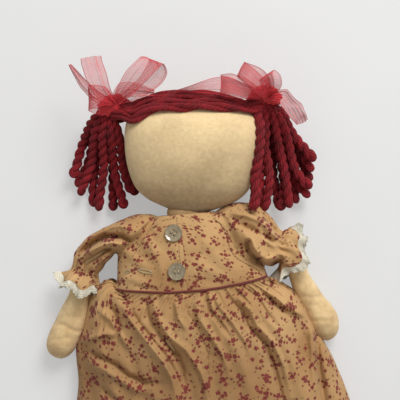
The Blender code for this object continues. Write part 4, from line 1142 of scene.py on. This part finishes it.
def sleeve_grid(rows, count, sides, seed, fan):
    """Rings round a puffed sleeve, with soft folds that run along it and draw in at the cuff."""
    rng = random.Random(seed)
    waves = []
    for _ in range(7):
        waves.append((rng.choice((3, 4, 5, 7, 9, 11)), rng.uniform(0, math.tau), rng.uniform(0.4, 1)))
    angles = ring_angles(sides)
    rings = []
    fine = flowing(rows, count)
    narrowest = int(np.argmin(fine[count // 2:, 3])) + count // 2
    for i, (x, y, heading, width, depth, z, pleat) in enumerate(fine):
        share = i / (count - 1)
        past = max(i - narrowest, 0) / (count - 1 - narrowest)
        wave = np.zeros_like(angles)
        for turns, phase, size in waves:
            wave += size * np.cos(turns * angles + phase + 1.2 * share * math.sin(turns))
        gather = np.cos(15 * angles + seed) * math.exp(-(((i - narrowest) / (0.10 * count)) ** 2))
        frill = np.cos(6 * angles + seed) + 0.6 * np.cos(10 * angles + 2 * seed)
        scale = 1 + pleat * 0.25 * wave * (1 - past) + 0.09 * gather + 0.10 * frill * past
        points = oval_ring((0, 0, 0), heading_across(heading), UP, width, depth, angles, 2.0)
        angle = math.radians(heading)
        forward = np.array((math.cos(angle), math.sin(angle), 0))
        curl = past * (0.0022 * np.cos(5 * angles + 2 * seed) + fan * np.sin(angles) ** 2)
        rings.append(np.array((x, y, z)) + points * scale[:, None] + forward * curl[:, None])
    return np.array(rings)


def half_height_of_bodice(x, y):
    """How far the bodice's cloth lies from the doll's mid plane, and 0 beyond its edge."""
    width, depth, _ = bodice_at(y)
    reach = width + DRESS_REACH
    reach = np.where(x < 0, np.maximum(reach, side_reach(y)), reach)
    inside = np.clip(1 - np.abs(x / reach) ** DRESS_SQUARENESS, 0, 1)
    return (depth + TOP_LIFT) * inside ** (1 / DRESS_SQUARENESS)


def make_sleeve(side, rows, folds, armhole, fan, seed):
    """A puffed sleeve set into the armhole, drawn in at the wrist and flared to a frill."""
    grid = sleeve_grid(rows, 120, 200, seed, fan)
    rest = grid.copy()
    steps = lengths_along(grid, 0)
    share = steps / steps[-1:]
    normal = grid - grid.mean(axis=1, keepdims=True)
    normal /= np.maximum(np.linalg.norm(normal, axis=-1, keepdims=True), 1e-6)
    above = smooth((normal[..., 2] + 0.1) / 0.6)
    lift = 2.1 * add_folds(grid, folds, 0.78) * above * smooth((0.86 - share) / 0.12)
    grid += normal * (0.0006 * lumps(grid, 0.008, seed) + 0.0003 * lumps(grid, 0.004, seed + 1))[..., None]
    grid[..., 2] += lift
    angle = math.radians(rows[0][2])
    forward = np.array((math.cos(angle), math.sin(angle), 0))
    along = (grid - grid[0].mean(axis=0)) @ heading_across(rows[0][2]) / rows[0][3]
    places, shifts = armhole
    near = 1 - smooth(steps / 0.020)
    grid += forward * (MM * np.interp(along, places, shifts) * near)[..., None]
    seat = half_height_of_bodice(grid[..., 0], grid[..., 1])
    tucked = np.maximum(seat - 0.0012 + 0.75 * steps, 0.0012)
    held = 1 - smooth((steps - 0.0015) / 0.006)
    grid[..., 2] += (TORSO_Z + np.sign(grid[..., 2] - TORSO_Z) * tucked - grid[..., 2]) * held
    grid[..., 2] = np.maximum(grid[..., 2], 0.0006)
    sleeve = cloth_grid(f"sleeve_{side}_puff", grid, rest=rest, fanned=True)
    apply_modifier(sleeve, "SOLIDIFY", thickness=CLOTH, offset=-1.0)
    sleeve.data.materials.append(GOODS["calico"])
    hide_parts(f"sleeve_{side}")
    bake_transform(sleeve)
    make_cuff_lace(side, grid[-1], grid[-1] - grid[-9], seed)


def make_cuff_lace(side, edge, lean, seed):
    """A ruffle of lace sewn to the sleeve's edge, with small scallops."""
    edge = flowing(edge, 420)
    lean = flowing(lean, 420) * (1, 1, 0.5)
    lean /= np.maximum(np.linalg.norm(lean, axis=-1, keepdims=True), 1e-9)
    centre = edge.mean(axis=0)
    outward = edge - centre
    outward /= np.linalg.norm(outward, axis=-1, keepdims=True)
    around = np.linspace(0, math.tau, len(edge))
    ruffle = np.cos(19 * around + seed) + 0.5 * np.cos(31 * around + 2)
    scallop = np.abs(np.sin(19 * around))
    rows = []
    for share in np.linspace(-0.52, 1, 16):
        reach = 0.0068 * share * (0.80 + 0.20 * scallop if share > 0.75 else 1)
        flare = (0.0012 if share > 0 else 0.0030) * share - 0.0009 + 0.0009 * ruffle * max(share, 0) ** 1.2
        rows.append(edge + lean * np.reshape(reach, (-1, 1)) + outward * np.reshape(flare, (-1, 1)))
    grid = np.array(rows)
    knots = np.sin(lengths_along(grid, 1) * 3600) * np.sin(lengths_along(grid, 0) * 3600)
    grid += outward[None] * (0.00022 * knots)[..., None]
    grid[..., 2] = np.maximum(grid[..., 2], 0.0003)
    ruffle_piece = cloth_grid(f"cuff_{side}_lace", grid)
    apply_modifier(ruffle_piece, "SOLIDIFY", thickness=0.0006, offset=0.0)
    ruffle_piece.data.materials.append(GOODS["lace"])
    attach(ruffle_piece, f"arm_{side}")
    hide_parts(f"cuff_lace_{side}")


# Buttons


def surface_under(obj, x, y):
    """Where a line straight down meets a piece, and which way its surface faces."""
    tree = BVHTree.FromObject(obj, bpy.context.evaluated_depsgraph_get())
    spot, normal, _, _ = tree.ray_cast(Vector((x, y, 0.2)), Vector((0, 0, -1)))
    return spot, normal


def stitch_line(name, panel, places, radius=0.00021):
    """A row of small stitches that dip in and out of the cloth, through places in millimetres."""
    path = even_path(np.array([(x, y, 0) for x, y in places], float) * MM, 0.0003)
    tree = BVHTree.FromObject(panel, bpy.context.evaluated_depsgraph_get())
    kept = []
    for i, (x, y, _) in enumerate(path):
        spot, _, _, _ = tree.ray_cast(Vector((x, y, 0.2)), Vector((0, 0, -1)))
        if spot is not None:
            kept.append((x, y, spot.z + 0.00045 * math.cos(i * 0.0003 / 0.0024 * math.tau) - 0.00005))
    path = np.array(kept)
    row = cloth_grid(name, tube_grid(path, np.full(len(path), radius), 6))
    row.data.materials.append(GOODS["seam_thread"])
    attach(row, "body")


def make_buttonhole(name, panel, centre, heading, half_length, half_width):
    """Close satin stitches round a slit, worked in thread."""
    angles = np.linspace(0, math.tau, 140)
    angle = math.radians(heading)
    run = np.array((math.cos(angle), math.sin(angle)))
    side = np.array((-run[1], run[0]))
    tree = BVHTree.FromObject(panel, bpy.context.evaluated_depsgraph_get())
    points = []
    for i, turn in enumerate(angles):
        reach = 1 + 0.10 * (-1) ** i
        flat = np.array(centre) + run * half_length * math.cos(turn)
        flat = flat + side * half_width * reach * math.sin(turn)
        spot, _, _, _ = tree.ray_cast(Vector((*(flat * MM), 0.2)), Vector((0, 0, -1)))
        points.append((*(flat * MM), spot.z + 0.00022))
    path = np.array(points)
    ring = cloth_grid(name, tube_grid(path, np.full(len(path), 0.00042), 8))
    ring.data.materials.append(GOODS["sewing_thread"])
    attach(ring, "body")


def make_button(name, node, x, y, turn, panel):
    radius, thick = BUTTON_RADIUS, BUTTON_THICK
    bpy.ops.mesh.primitive_cylinder_add(vertices=64, radius=radius, depth=thick, location=(0, 0, thick / 2))
    obj = bpy.context.object
    obj.name = obj.data.name = name
    bpy.ops.object.transform_apply(location=True)
    bpy.ops.object.mode_set(mode="EDIT")
    mesh = bmesh.from_edit_mesh(obj.data)
    for face in mesh.faces:
        face.select_set(face.normal.z > 0.9)
    bmesh.update_edit_mesh(obj.data)
    bpy.ops.mesh.inset(thickness=0.0013)
    bpy.ops.transform.translate(value=(0, 0, -0.0007))
    bpy.ops.mesh.inset(thickness=0.0016)
    bpy.ops.transform.translate(value=(0, 0, -0.0002))
    bpy.ops.object.mode_set(mode="OBJECT")
    for i in range(4):
        angle = math.tau * (i + 0.5) / 4
        place = (0.00184 * math.cos(angle), 0.00184 * math.sin(angle), thick / 2)
        bpy.ops.mesh.primitive_cylinder_add(vertices=20, radius=0.00078, depth=thick * 3, location=place)
        punch = bpy.context.object
        only(obj)
        cut = obj.modifiers.new("hole", "BOOLEAN")
        cut.object = punch
        bpy.ops.object.modifier_apply(modifier=cut.name)
        bpy.data.objects.remove(punch)
    sharp = math.radians(40)
    apply_modifier(obj, "BEVEL", width=0.00025, segments=3, limit_method="ANGLE", angle_limit=sharp)
    only(obj)
    bpy.ops.object.shade_smooth_by_angle(angle=math.radians(35))
    obj.data.materials.append(GOODS["button"])
    pieces = [obj]
    for i, sign in enumerate((-1, 1)):
        bpy.ops.mesh.primitive_torus_add(
            major_segments=32, minor_segments=10, major_radius=0.0013, minor_radius=0.00042,
            location=(0, sign * 0.0013, 0.0006), rotation=(math.pi / 2, 0, 0),
        )
        loop = bpy.context.object
        loop.name = loop.data.name = f"{name}_thread_{i + 1}"
        bpy.ops.object.transform_apply(location=True, rotation=True)
        bpy.ops.object.mode_set(mode="EDIT")
        bpy.ops.mesh.select_all(action="SELECT")
        bpy.ops.transform.resize(value=(1.0, 1.0, 0.95), center_override=(0, 0, 0))
        bpy.ops.object.mode_set(mode="OBJECT")
        bpy.ops.object.shade_smooth()
        loop.data.materials.append(GOODS["sewing_thread"])
        pieces.append(loop)
    spot, normal = surface_under(panel, x, y)
    seat = Matrix.Translation(spot + normal * 0.0002) @ normal.to_track_quat("Z", "Y").to_matrix().to_4x4()
    seat = seat @ Matrix.Rotation(math.radians(turn), 4, "Z")
    for piece in pieces:
        piece.data.transform(seat)
        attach(piece, "body")
    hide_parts(node)


# Hair


def path_frames(path):
    """Two directions across a path at each of its points, carried along without twisting."""
    tangents = np.gradient(path, axis=0)
    tangents /= np.maximum(np.linalg.norm(tangents, axis=1, keepdims=True), 1e-9)
    side = np.cross(tangents[0], UP)
    if np.linalg.norm(side) < 1e-3:
        side = np.cross(tangents[0], ACROSS)
    side /= np.linalg.norm(side)
    sides = []
    for tangent in tangents:
        side = side - tangent * (side @ tangent)
        side /= np.linalg.norm(side)
        sides.append(side)
    sides = np.array(sides)
    return tangents, sides, np.cross(tangents, sides)


def tube_grid(path, radii, sides=8):
    """Rings round a path, drawn in to a point at both ends."""
    _, across, up = path_frames(path)
    angles = ring_angles(sides)
    around = np.cos(angles)[None, :, None] * across[:, None, :]
    around = around + np.sin(angles)[None, :, None] * up[:, None, :]
    grid = path[:, None, :] + around * np.reshape(radii, (-1, 1, 1))
    grid[0], grid[-1] = path[0], path[-1]
    return grid


def even_path(points, step):
    fine = flowing(points, len(points) * 24)
    lengths = np.concatenate([[0], np.cumsum(np.linalg.norm(np.diff(fine, axis=0), axis=1))])
    places = np.arange(0, lengths[-1], step)
    return np.stack([np.interp(places, lengths, fine[:, i]) for i in range(3)], axis=1)


def doubled_yarn(path, radii, pitch, phase):
    """One yarn that runs down a path, turns back at its end and is twisted round itself."""
    tangents, across, up = path_frames(path)
    steps = np.linalg.norm(np.diff(path, axis=0), axis=1)
    lengths = np.concatenate([[0], np.cumsum(steps)])
    turn = lengths / pitch * math.tau + phase
    offset = np.reshape(radii * 0.44, (-1, 1))
    spin = across * np.cos(turn)[:, None] + up * np.sin(turn)[:, None]
    down, back = path + spin * offset, path - spin * offset
    bend = []
    reach = radii[-1] * 0.62
    for angle in np.linspace(0, math.pi, 9)[1:-1]:
        sideways = spin[-1] * offset[-1] * math.cos(angle)
        bend.append(path[-1] + sideways + tangents[-1] * reach * math.sin(angle))
    whole = np.concatenate([down, bend, back[::-1]])
    thick = np.concatenate([radii * 0.64, np.full(len(bend), radii[-1] * 0.66), (radii * 0.64)[::-1]])
    return whole, thick


def nearest_gaps(path, others):
    """How near each point of a path comes to the middle of another."""
    gaps = np.full(len(path), 1.0)
    for other in others:
        if other is path:
            continue
        away = np.linalg.norm(path[:, None, :] - other[None, :, :], axis=-1)
        gaps = np.minimum(gaps, away.min(axis=1))
    return gaps


def strand_path(tie, level, root, tip, length, floor_z, seed):
    """The middle of a hanging yarn: out of the tie, down to its place and on to its tip."""
    rng = random.Random(seed)
    bow, twist, sway = rng.uniform(-3, 3), rng.uniform(0, math.tau), rng.uniform(1.2, 2.6)
    points = []
    for i in range(11):
        share = i / 10
        reach = KNOT_RADIUS * 0.5 + (length - KNOT_RADIUS * 0.5) * share
        swing = tip + (root - tip) * (1 - share) ** 2.2 + bow * math.sin(math.pi * share)
        swing += sway * math.sin(7 * share + twist) * share
        swing = math.radians(swing)
        start_z = tie[2] + 0.0135 * level
        z = start_z + (floor_z - start_z) * float(smooth(share * 1.5))
        z += 0.0014 * math.sin(6 * share + twist) * share
        points.append((tie[0] + reach * math.cos(swing), tie[1] + reach * math.sin(swing), max(z, 0.0042)))
    return even_path(np.array(points), 0.0011)


def clear_of(tree, path, radius):
    """Moves the points of a path out of a stuffed piece, so that a yarn lies on it."""
    for _ in range(2):
        for i, point in enumerate(path):
            spot, normal, _, _ = tree.find_nearest(Vector(point))
            if (Vector(point) - spot).dot(normal) < radius:
                path[i] = spot + normal * radius
        path[1:-1] = (path[:-2] + 2 * path[1:-1] + path[2:]) / 4
    return path


def make_pigtail(side, tie, layers, head):
    tree = BVHTree.FromObject(head, bpy.context.evaluated_depsgraph_get())
    paths = []
    for depth, (level, strands) in enumerate(layers):
        floor_z = 0.0048 + 0.0070 * depth
        for root, tip, length, raised in strands:
            seed = len(paths) + (50 if side == "left" else 0)
            path = strand_path(tie, level, root, tip, PIGTAIL_LENGTH * length, floor_z + raised * MM, seed)
            paths.append(clear_of(tree, path, YARN_RADIUS * 0.9))
    rng = random.Random(3)
    for i, path in enumerate(paths):
        room = nearest_gaps(path, paths)
        radii = np.clip(room * 0.72, THINNEST_YARN, YARN_RADIUS * 1.08)
        radii = np.convolve(np.pad(radii, 4, mode="edge"), np.ones(9) / 9, mode="valid")
        radii[-5:] *= np.linspace(1, 1.12, 5)
        whole, thick = doubled_yarn(path, radii, 0.0150, rng.uniform(0, math.tau))
        strand = cloth_grid(f"pigtail_{side}_yarn_{i + 1:02d}", tube_grid(whole, thick, 12))
        strand.data.materials.append(GOODS["yarn"])
        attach(strand, f"pigtail_{side}")
        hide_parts(f"pigtail_{side}_strand_{i + 1:02d}")


def make_crown(head):
    """The yarns laid over the head from one tie to the other."""
    tree = BVHTree.FromObject(head, bpy.context.evaluated_depsgraph_get())
    strands = 8
    rng = random.Random(11)
    hairline = np.array(HAIRLINE) * MM

    def over_head(x):
        """Where the yarns lie at one place across the head, evenly spaced from its front to its back."""
        places = []
        for angle in np.radians(np.linspace(0, 130, 40)):
            outward = Vector((0, math.sin(angle), math.cos(angle)))
            middle = Vector((x, float(np.interp(x, hairline[:, 0], hairline[:, 1])) - 0.003, 0.029))
            spot, normal, _, _ = tree.ray_cast(middle + outward * 0.09, -outward)
            if spot is None or (spot - middle).length > 0.05:
                places.append(np.array(middle + outward * (0.004 + YARN_RADIUS)))
            else:
                places.append(np.array(spot + normal * (YARN_RADIUS * 0.8)))
        places = np.array(places)
        far = np.concatenate([[0], np.cumsum(np.linalg.norm(np.diff(places, axis=0), axis=1))])
        return np.stack([np.interp(np.linspace(0, far[-1], strands), far, line) for line in places.T], axis=1)

    stations = [over_head(x) for x in (-0.031, -0.019, -0.006, 0.006, 0.018, 0.030, 0.041, 0.051)]

    def tied(tie, x, k, radius):
        """Where a yarn passes a place near a tie, with the yarns spread round the bundle's outside."""
        angle = math.radians(90 + 250 * (k / (strands - 1) - 0.5))
        y, z = tie[1] - 0.003 + radius * math.sin(angle), tie[2] + 0.002 + radius * math.cos(angle)
        return np.array((x, y, z))

    paths = []
    for k in range(strands):
        near = ((-0.001, 0.0062), (0.008, 0.0082))
        points = [tied(TIE_RIGHT, TIE_RIGHT[0] + x, k, radius) for x, radius in near]
        points += [station[k] + np.array((0, 0.0005 * rng.uniform(-1, 1), 0)) for station in stations]
        near = ((-0.007, 0.0084), (0.001, 0.0062))
        points += [tied(TIE_LEFT, TIE_LEFT[0] + x, k, radius) for x, radius in near]
        path = even_path(np.array(points), 0.0012)
        for i, point in enumerate(path):
            spot, normal, _, _ = tree.find_nearest(Vector(point))
            if (Vector(point) - spot).dot(normal) < YARN_RADIUS * 0.85:
                path[i] = spot + normal * (YARN_RADIUS * 0.85)
        for _ in range(3):
            path[1:-1] = (path[:-2] + 2 * path[1:-1] + path[2:]) / 4
        paths.append(path)
    for k, path in enumerate(paths):
        room = nearest_gaps(path, paths)
        radii = np.clip(room * 0.70, THINNEST_YARN, YARN_RADIUS)
        radii = np.convolve(np.pad(radii, 4, mode="edge"), np.ones(9) / 9, mode="valid")
        whole, thick = doubled_yarn(path, radii, 0.062, rng.uniform(0, math.tau))
        strand = cloth_grid(f"crown_yarn_{k + 1}", tube_grid(whole, thick, 12))
        strand.data.materials.append(GOODS["yarn"])
        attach(strand, "head")
        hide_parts(f"crown_strand_{k + 1}")


# Bows


def make_strip(places, seed, crumple):
    """One run of net, gathered at the knot and crumpled along its length."""
    count = 84
    rows = np.array(places, float)
    rows[:, 3] = np.radians(rows[:, 3])
    fine = flowing(rows, count)
    middle, half = fine[:, :3] * MM, fine[:, 4] * MM
    across = np.stack([-np.sin(fine[:, 3]), np.cos(fine[:, 3]), np.zeros(count)], axis=1)
    side = np.linspace(-1, 1, 48)
    rng = random.Random(seed)
    ripple = np.zeros_like(side)
    for turns in (1, 2, 3, 5):
        ripple += rng.uniform(0.3, 1) / turns**0.5 * np.cos(turns * side * math.pi + rng.uniform(0, math.tau))
    grid = middle[:, None, :] + across[:, None, :] * (half[:, None] * side[None, :])[..., None]
    gathered = 1 - smooth(half / 0.0065)
    grid[..., 2] += 0.0012 * crumple * ripple[None, :] * (0.45 + gathered[:, None])
    shifts = [lumps(grid, 0.013 / crumple**0.5, seed + k) for k in range(3)]
    grid += 0.0010 * crumple * np.stack(shifts, axis=-1)
    return grid


def make_bow(side, tie, strips, heading):
    """A bow of net: its loops and tails, and the knot that draws them in."""
    for label, seed, crumple, places in strips:
        grid = make_strip(places, seed, crumple)
        piece = cloth_grid(f"bow_{side}_{label}", grid, outward=False)
        piece.data.materials.append(GOODS["tulle"])
        piece.data.materials.append(GOODS["tulle_edge"])
        columns = grid.shape[1] - 1
        for face in piece.data.polygons:
            face.material_index = int(face.index % columns in (0, columns - 1))
        apply_modifier(piece, "SOLIDIFY", thickness=0.00016, offset=0.0)
        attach(piece, "pigtail_left" if label == "tail_low" else "head")
    rings = []
    angles = ring_angles(96)
    run = heading_across(heading - 90)
    for share in np.linspace(-1, 1, 48):
        swell = math.sqrt(max(1 - share**4, 0.0004))
        ring = oval_ring((0, 0, 0), run, heading_across(heading), 0.0112 * swell, 0.0078 * swell, angles)
        ring *= (1 + 0.06 * np.cos(7 * angles + 3 * share) + 0.06 * np.cos(16 * angles - 6 * share))[:, None]
        rings.append(ring + tie + np.array((0.001, 0.002, 0.0142 * share)))
    knot = cloth_grid(f"bow_{side}_knot", np.array(rings), closed=True)
    knot.data.materials.append(GOODS["tulle_knot"])
    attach(knot, "head")
    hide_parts(f"bow_{side}")


def tulle_knot():
    """The same net, wound so thick that it no longer shows through."""
    recipe = Recipe("tulle_wound")
    place = recipe.cloth_place()
    crumple = recipe.speckle(recipe.vector("MULTIPLY", place, (1.0, 0.4, 1.0)), 2.0, 3.0)
    recipe.set(base_color=recipe.mixed(crumple, tint(160, 14, 26), tint(228, 56, 62)), roughness=0.6)
    recipe.bump(crumple, 0.0012)
    return recipe.material


# Room


def pale_for_camera(recipe):
    """Shows the floor paler, with a weaker shadow, and sheds no light of its own on the doll."""
    rays = recipe.node("LightPath").socket.node.outputs
    seen = Wire(recipe, rays["Is Camera Ray"])
    for kind in ("Is Glossy Ray", "Is Transmission Ray"):
        seen = seen.maths("MAXIMUM", seen, Wire(recipe, rays[kind]))
    glow = recipe.node("Emission", None, {"Color": (0.80, 0.80, 0.795, 1.0)})
    paint = Wire(recipe, recipe.shader.outputs[0])
    blended = recipe.node("MixShader", None, {0: seen * 0.45, 1: paint, 2: glow})
    surface = next(node for node in recipe.tree.nodes if node.type == "OUTPUT_MATERIAL")
    recipe.feed(surface.inputs["Surface"], blended)


def make_room():
    bpy.ops.mesh.primitive_plane_add(size=6, location=(0, 0, -0.0004))
    floor = bpy.context.object
    floor.name = "floor"
    recipe = Recipe("floor_paint")
    soft = recipe.speckle(recipe.object_place(), 60.0, 2.0)
    recipe.set(base_color=recipe.mixed(soft, tint(228, 228, 227), tint(222, 222, 221)), roughness=0.9)
    pale_for_camera(recipe)
    floor.data.materials.append(recipe.material)
    world = bpy.context.scene.world or bpy.data.worlds.new("room")
    bpy.context.scene.world = world
    world.use_nodes = True
    world.node_tree.nodes["Background"].inputs["Color"].default_value = (1, 1, 1, 1)
    world.node_tree.nodes["Background"].inputs["Strength"].default_value = 0.45
    bpy.ops.object.light_add(type="AREA", location=(0.58, 1.14, 1.06))
    lamp = bpy.context.object
    lamp.data.size = 0.75
    lamp.data.energy = 21
    lamp.rotation_euler = (lamp.location - Vector((0.0, 0.1, 0))).to_track_quat("Z", "Y").to_euler()
    bpy.context.scene.view_settings.view_transform = "Standard"


def make_camera():
    target = Vector((0.0115, 0.1376, 0.025))
    distance, field = 0.80, 0.3077
    bpy.ops.object.camera_add(location=target + Vector((0, 0, distance)), rotation=(0, 0, math.radians(-5)))
    camera = bpy.context.object
    camera.data.sensor_width = 36
    camera.data.lens = 36 * distance / field
    bpy.context.scene.camera = camera


def main():
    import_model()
    make_room()
    make_camera()
    GOODS.update(
        calico=calico("calico_print", False),
        calico_skirt=calico("calico_print_skirt", True),
        yarn=yarn(),
        tulle=tulle("tulle_net", 0.06, 0.55),
        tulle_edge=tulle("tulle_hem", 0.45, 0.40),
        tulle_knot=tulle_knot(),
        lace=lace(),
        trim=piping_and_seam_shade(),
        button=shell_button(),
        muslin_limb=muslin("muslin_limb", tint(240, 210, 156), tint(168, 128, 80), 120.0, -60.0, 9.0, 1.2),
        # Dark brown thread, dark enough to also paint the armhole seams' shadow line.
        seam_thread=thread_cotton("seam_thread", tint(136, 100, 64), tint(84, 58, 36)),
        sewing_thread=thread_cotton("sewing_thread", tint(214, 196, 156), tint(168, 146, 106)),
    )
    head = make_head()
    make_torso()
    wrist = ((0.0885, 0.0555), (1, 0.15), 0.0012, 0.0016, 0.010)
    palm = ((0.097, 0.0365), (1, 0.3), 0.0010, 0.0016, 0.008)
    make_arm("left", ARM_LEFT_ROWS, (wrist, palm))
    wrist = ((-0.098, 0.0475), (1, -0.25), 0.0013, 0.0017, 0.011)
    palm = ((-0.107, 0.0400), (1, 0.5), 0.0008, 0.0016, 0.007)
    make_arm("right", ARM_RIGHT_ROWS, (wrist, palm))
    make_leg("left")
    make_leg("right")
    under, panel = make_bodice()
    make_button("button_top", "button_upper", PLACKET_X - 0.0063, 0.1145, 20, panel)
    make_button("button_bottom", "button_lower", PLACKET_X - 0.0063, 0.0860, -10, panel)
    make_sleeve("left", SLEEVE_LEFT_ROWS, SLEEVE_FOLDS_LEFT, ARMHOLE_LEFT, 0.0110, 2)
    make_sleeve("right", SLEEVE_RIGHT_ROWS, SLEEVE_FOLDS_RIGHT, ARMHOLE_RIGHT, 0.0030, 6)
    stitch_line("placket_stitches", panel, [(-7.2, 126), (-7.2, 110), (-7.2, 92), (-7.2, 73)])
    stitch_line("neck_stitches", panel, [(-19, 124.5), (-12, 125.3), (-5, 125.6)])
    # Dark stitch rows along both armhole seams: partly real stitching, partly a painted shadow line where the
    # sleeve meets the bodice.
    seam = [(20.5, 122.5), (26.0, 117.0), (29.4, 109.0), (30.8, 99.8), (35.4, 91.6)]
    seam += [(46.5, 83.6), (52.5, 79.5)]
    stitch_line("armhole_stitches_and_shadow_left", under, seam, radius=0.00032)
    seam = [(-21.5, 122.5), (-28.5, 118.0), (-36.5, 108.0), (-43.0, 99.5)]
    stitch_line("armhole_stitches_and_shadow_right", panel, seam)
    make_buttonhole("buttonhole_long", panel, (-34.0, 87.8), -16, 5.3, 1.25)
    make_buttonhole("buttonhole_short", panel, (-48.2, 88.0), 20, 2.2, 0.9)
    make_skirt()
    make_piping_and_seam_shadow()
    make_crown(head)
    make_pigtail("left", TIE_LEFT, PIGTAIL_LEFT, head)
    make_pigtail("right", TIE_RIGHT, PIGTAIL_RIGHT, head)
    make_bow("left", TIE_LEFT, BOW_LEFT_STRIPS, 160)
    make_bow("right", TIE_RIGHT, BOW_RIGHT_STRIPS, 20)


main()
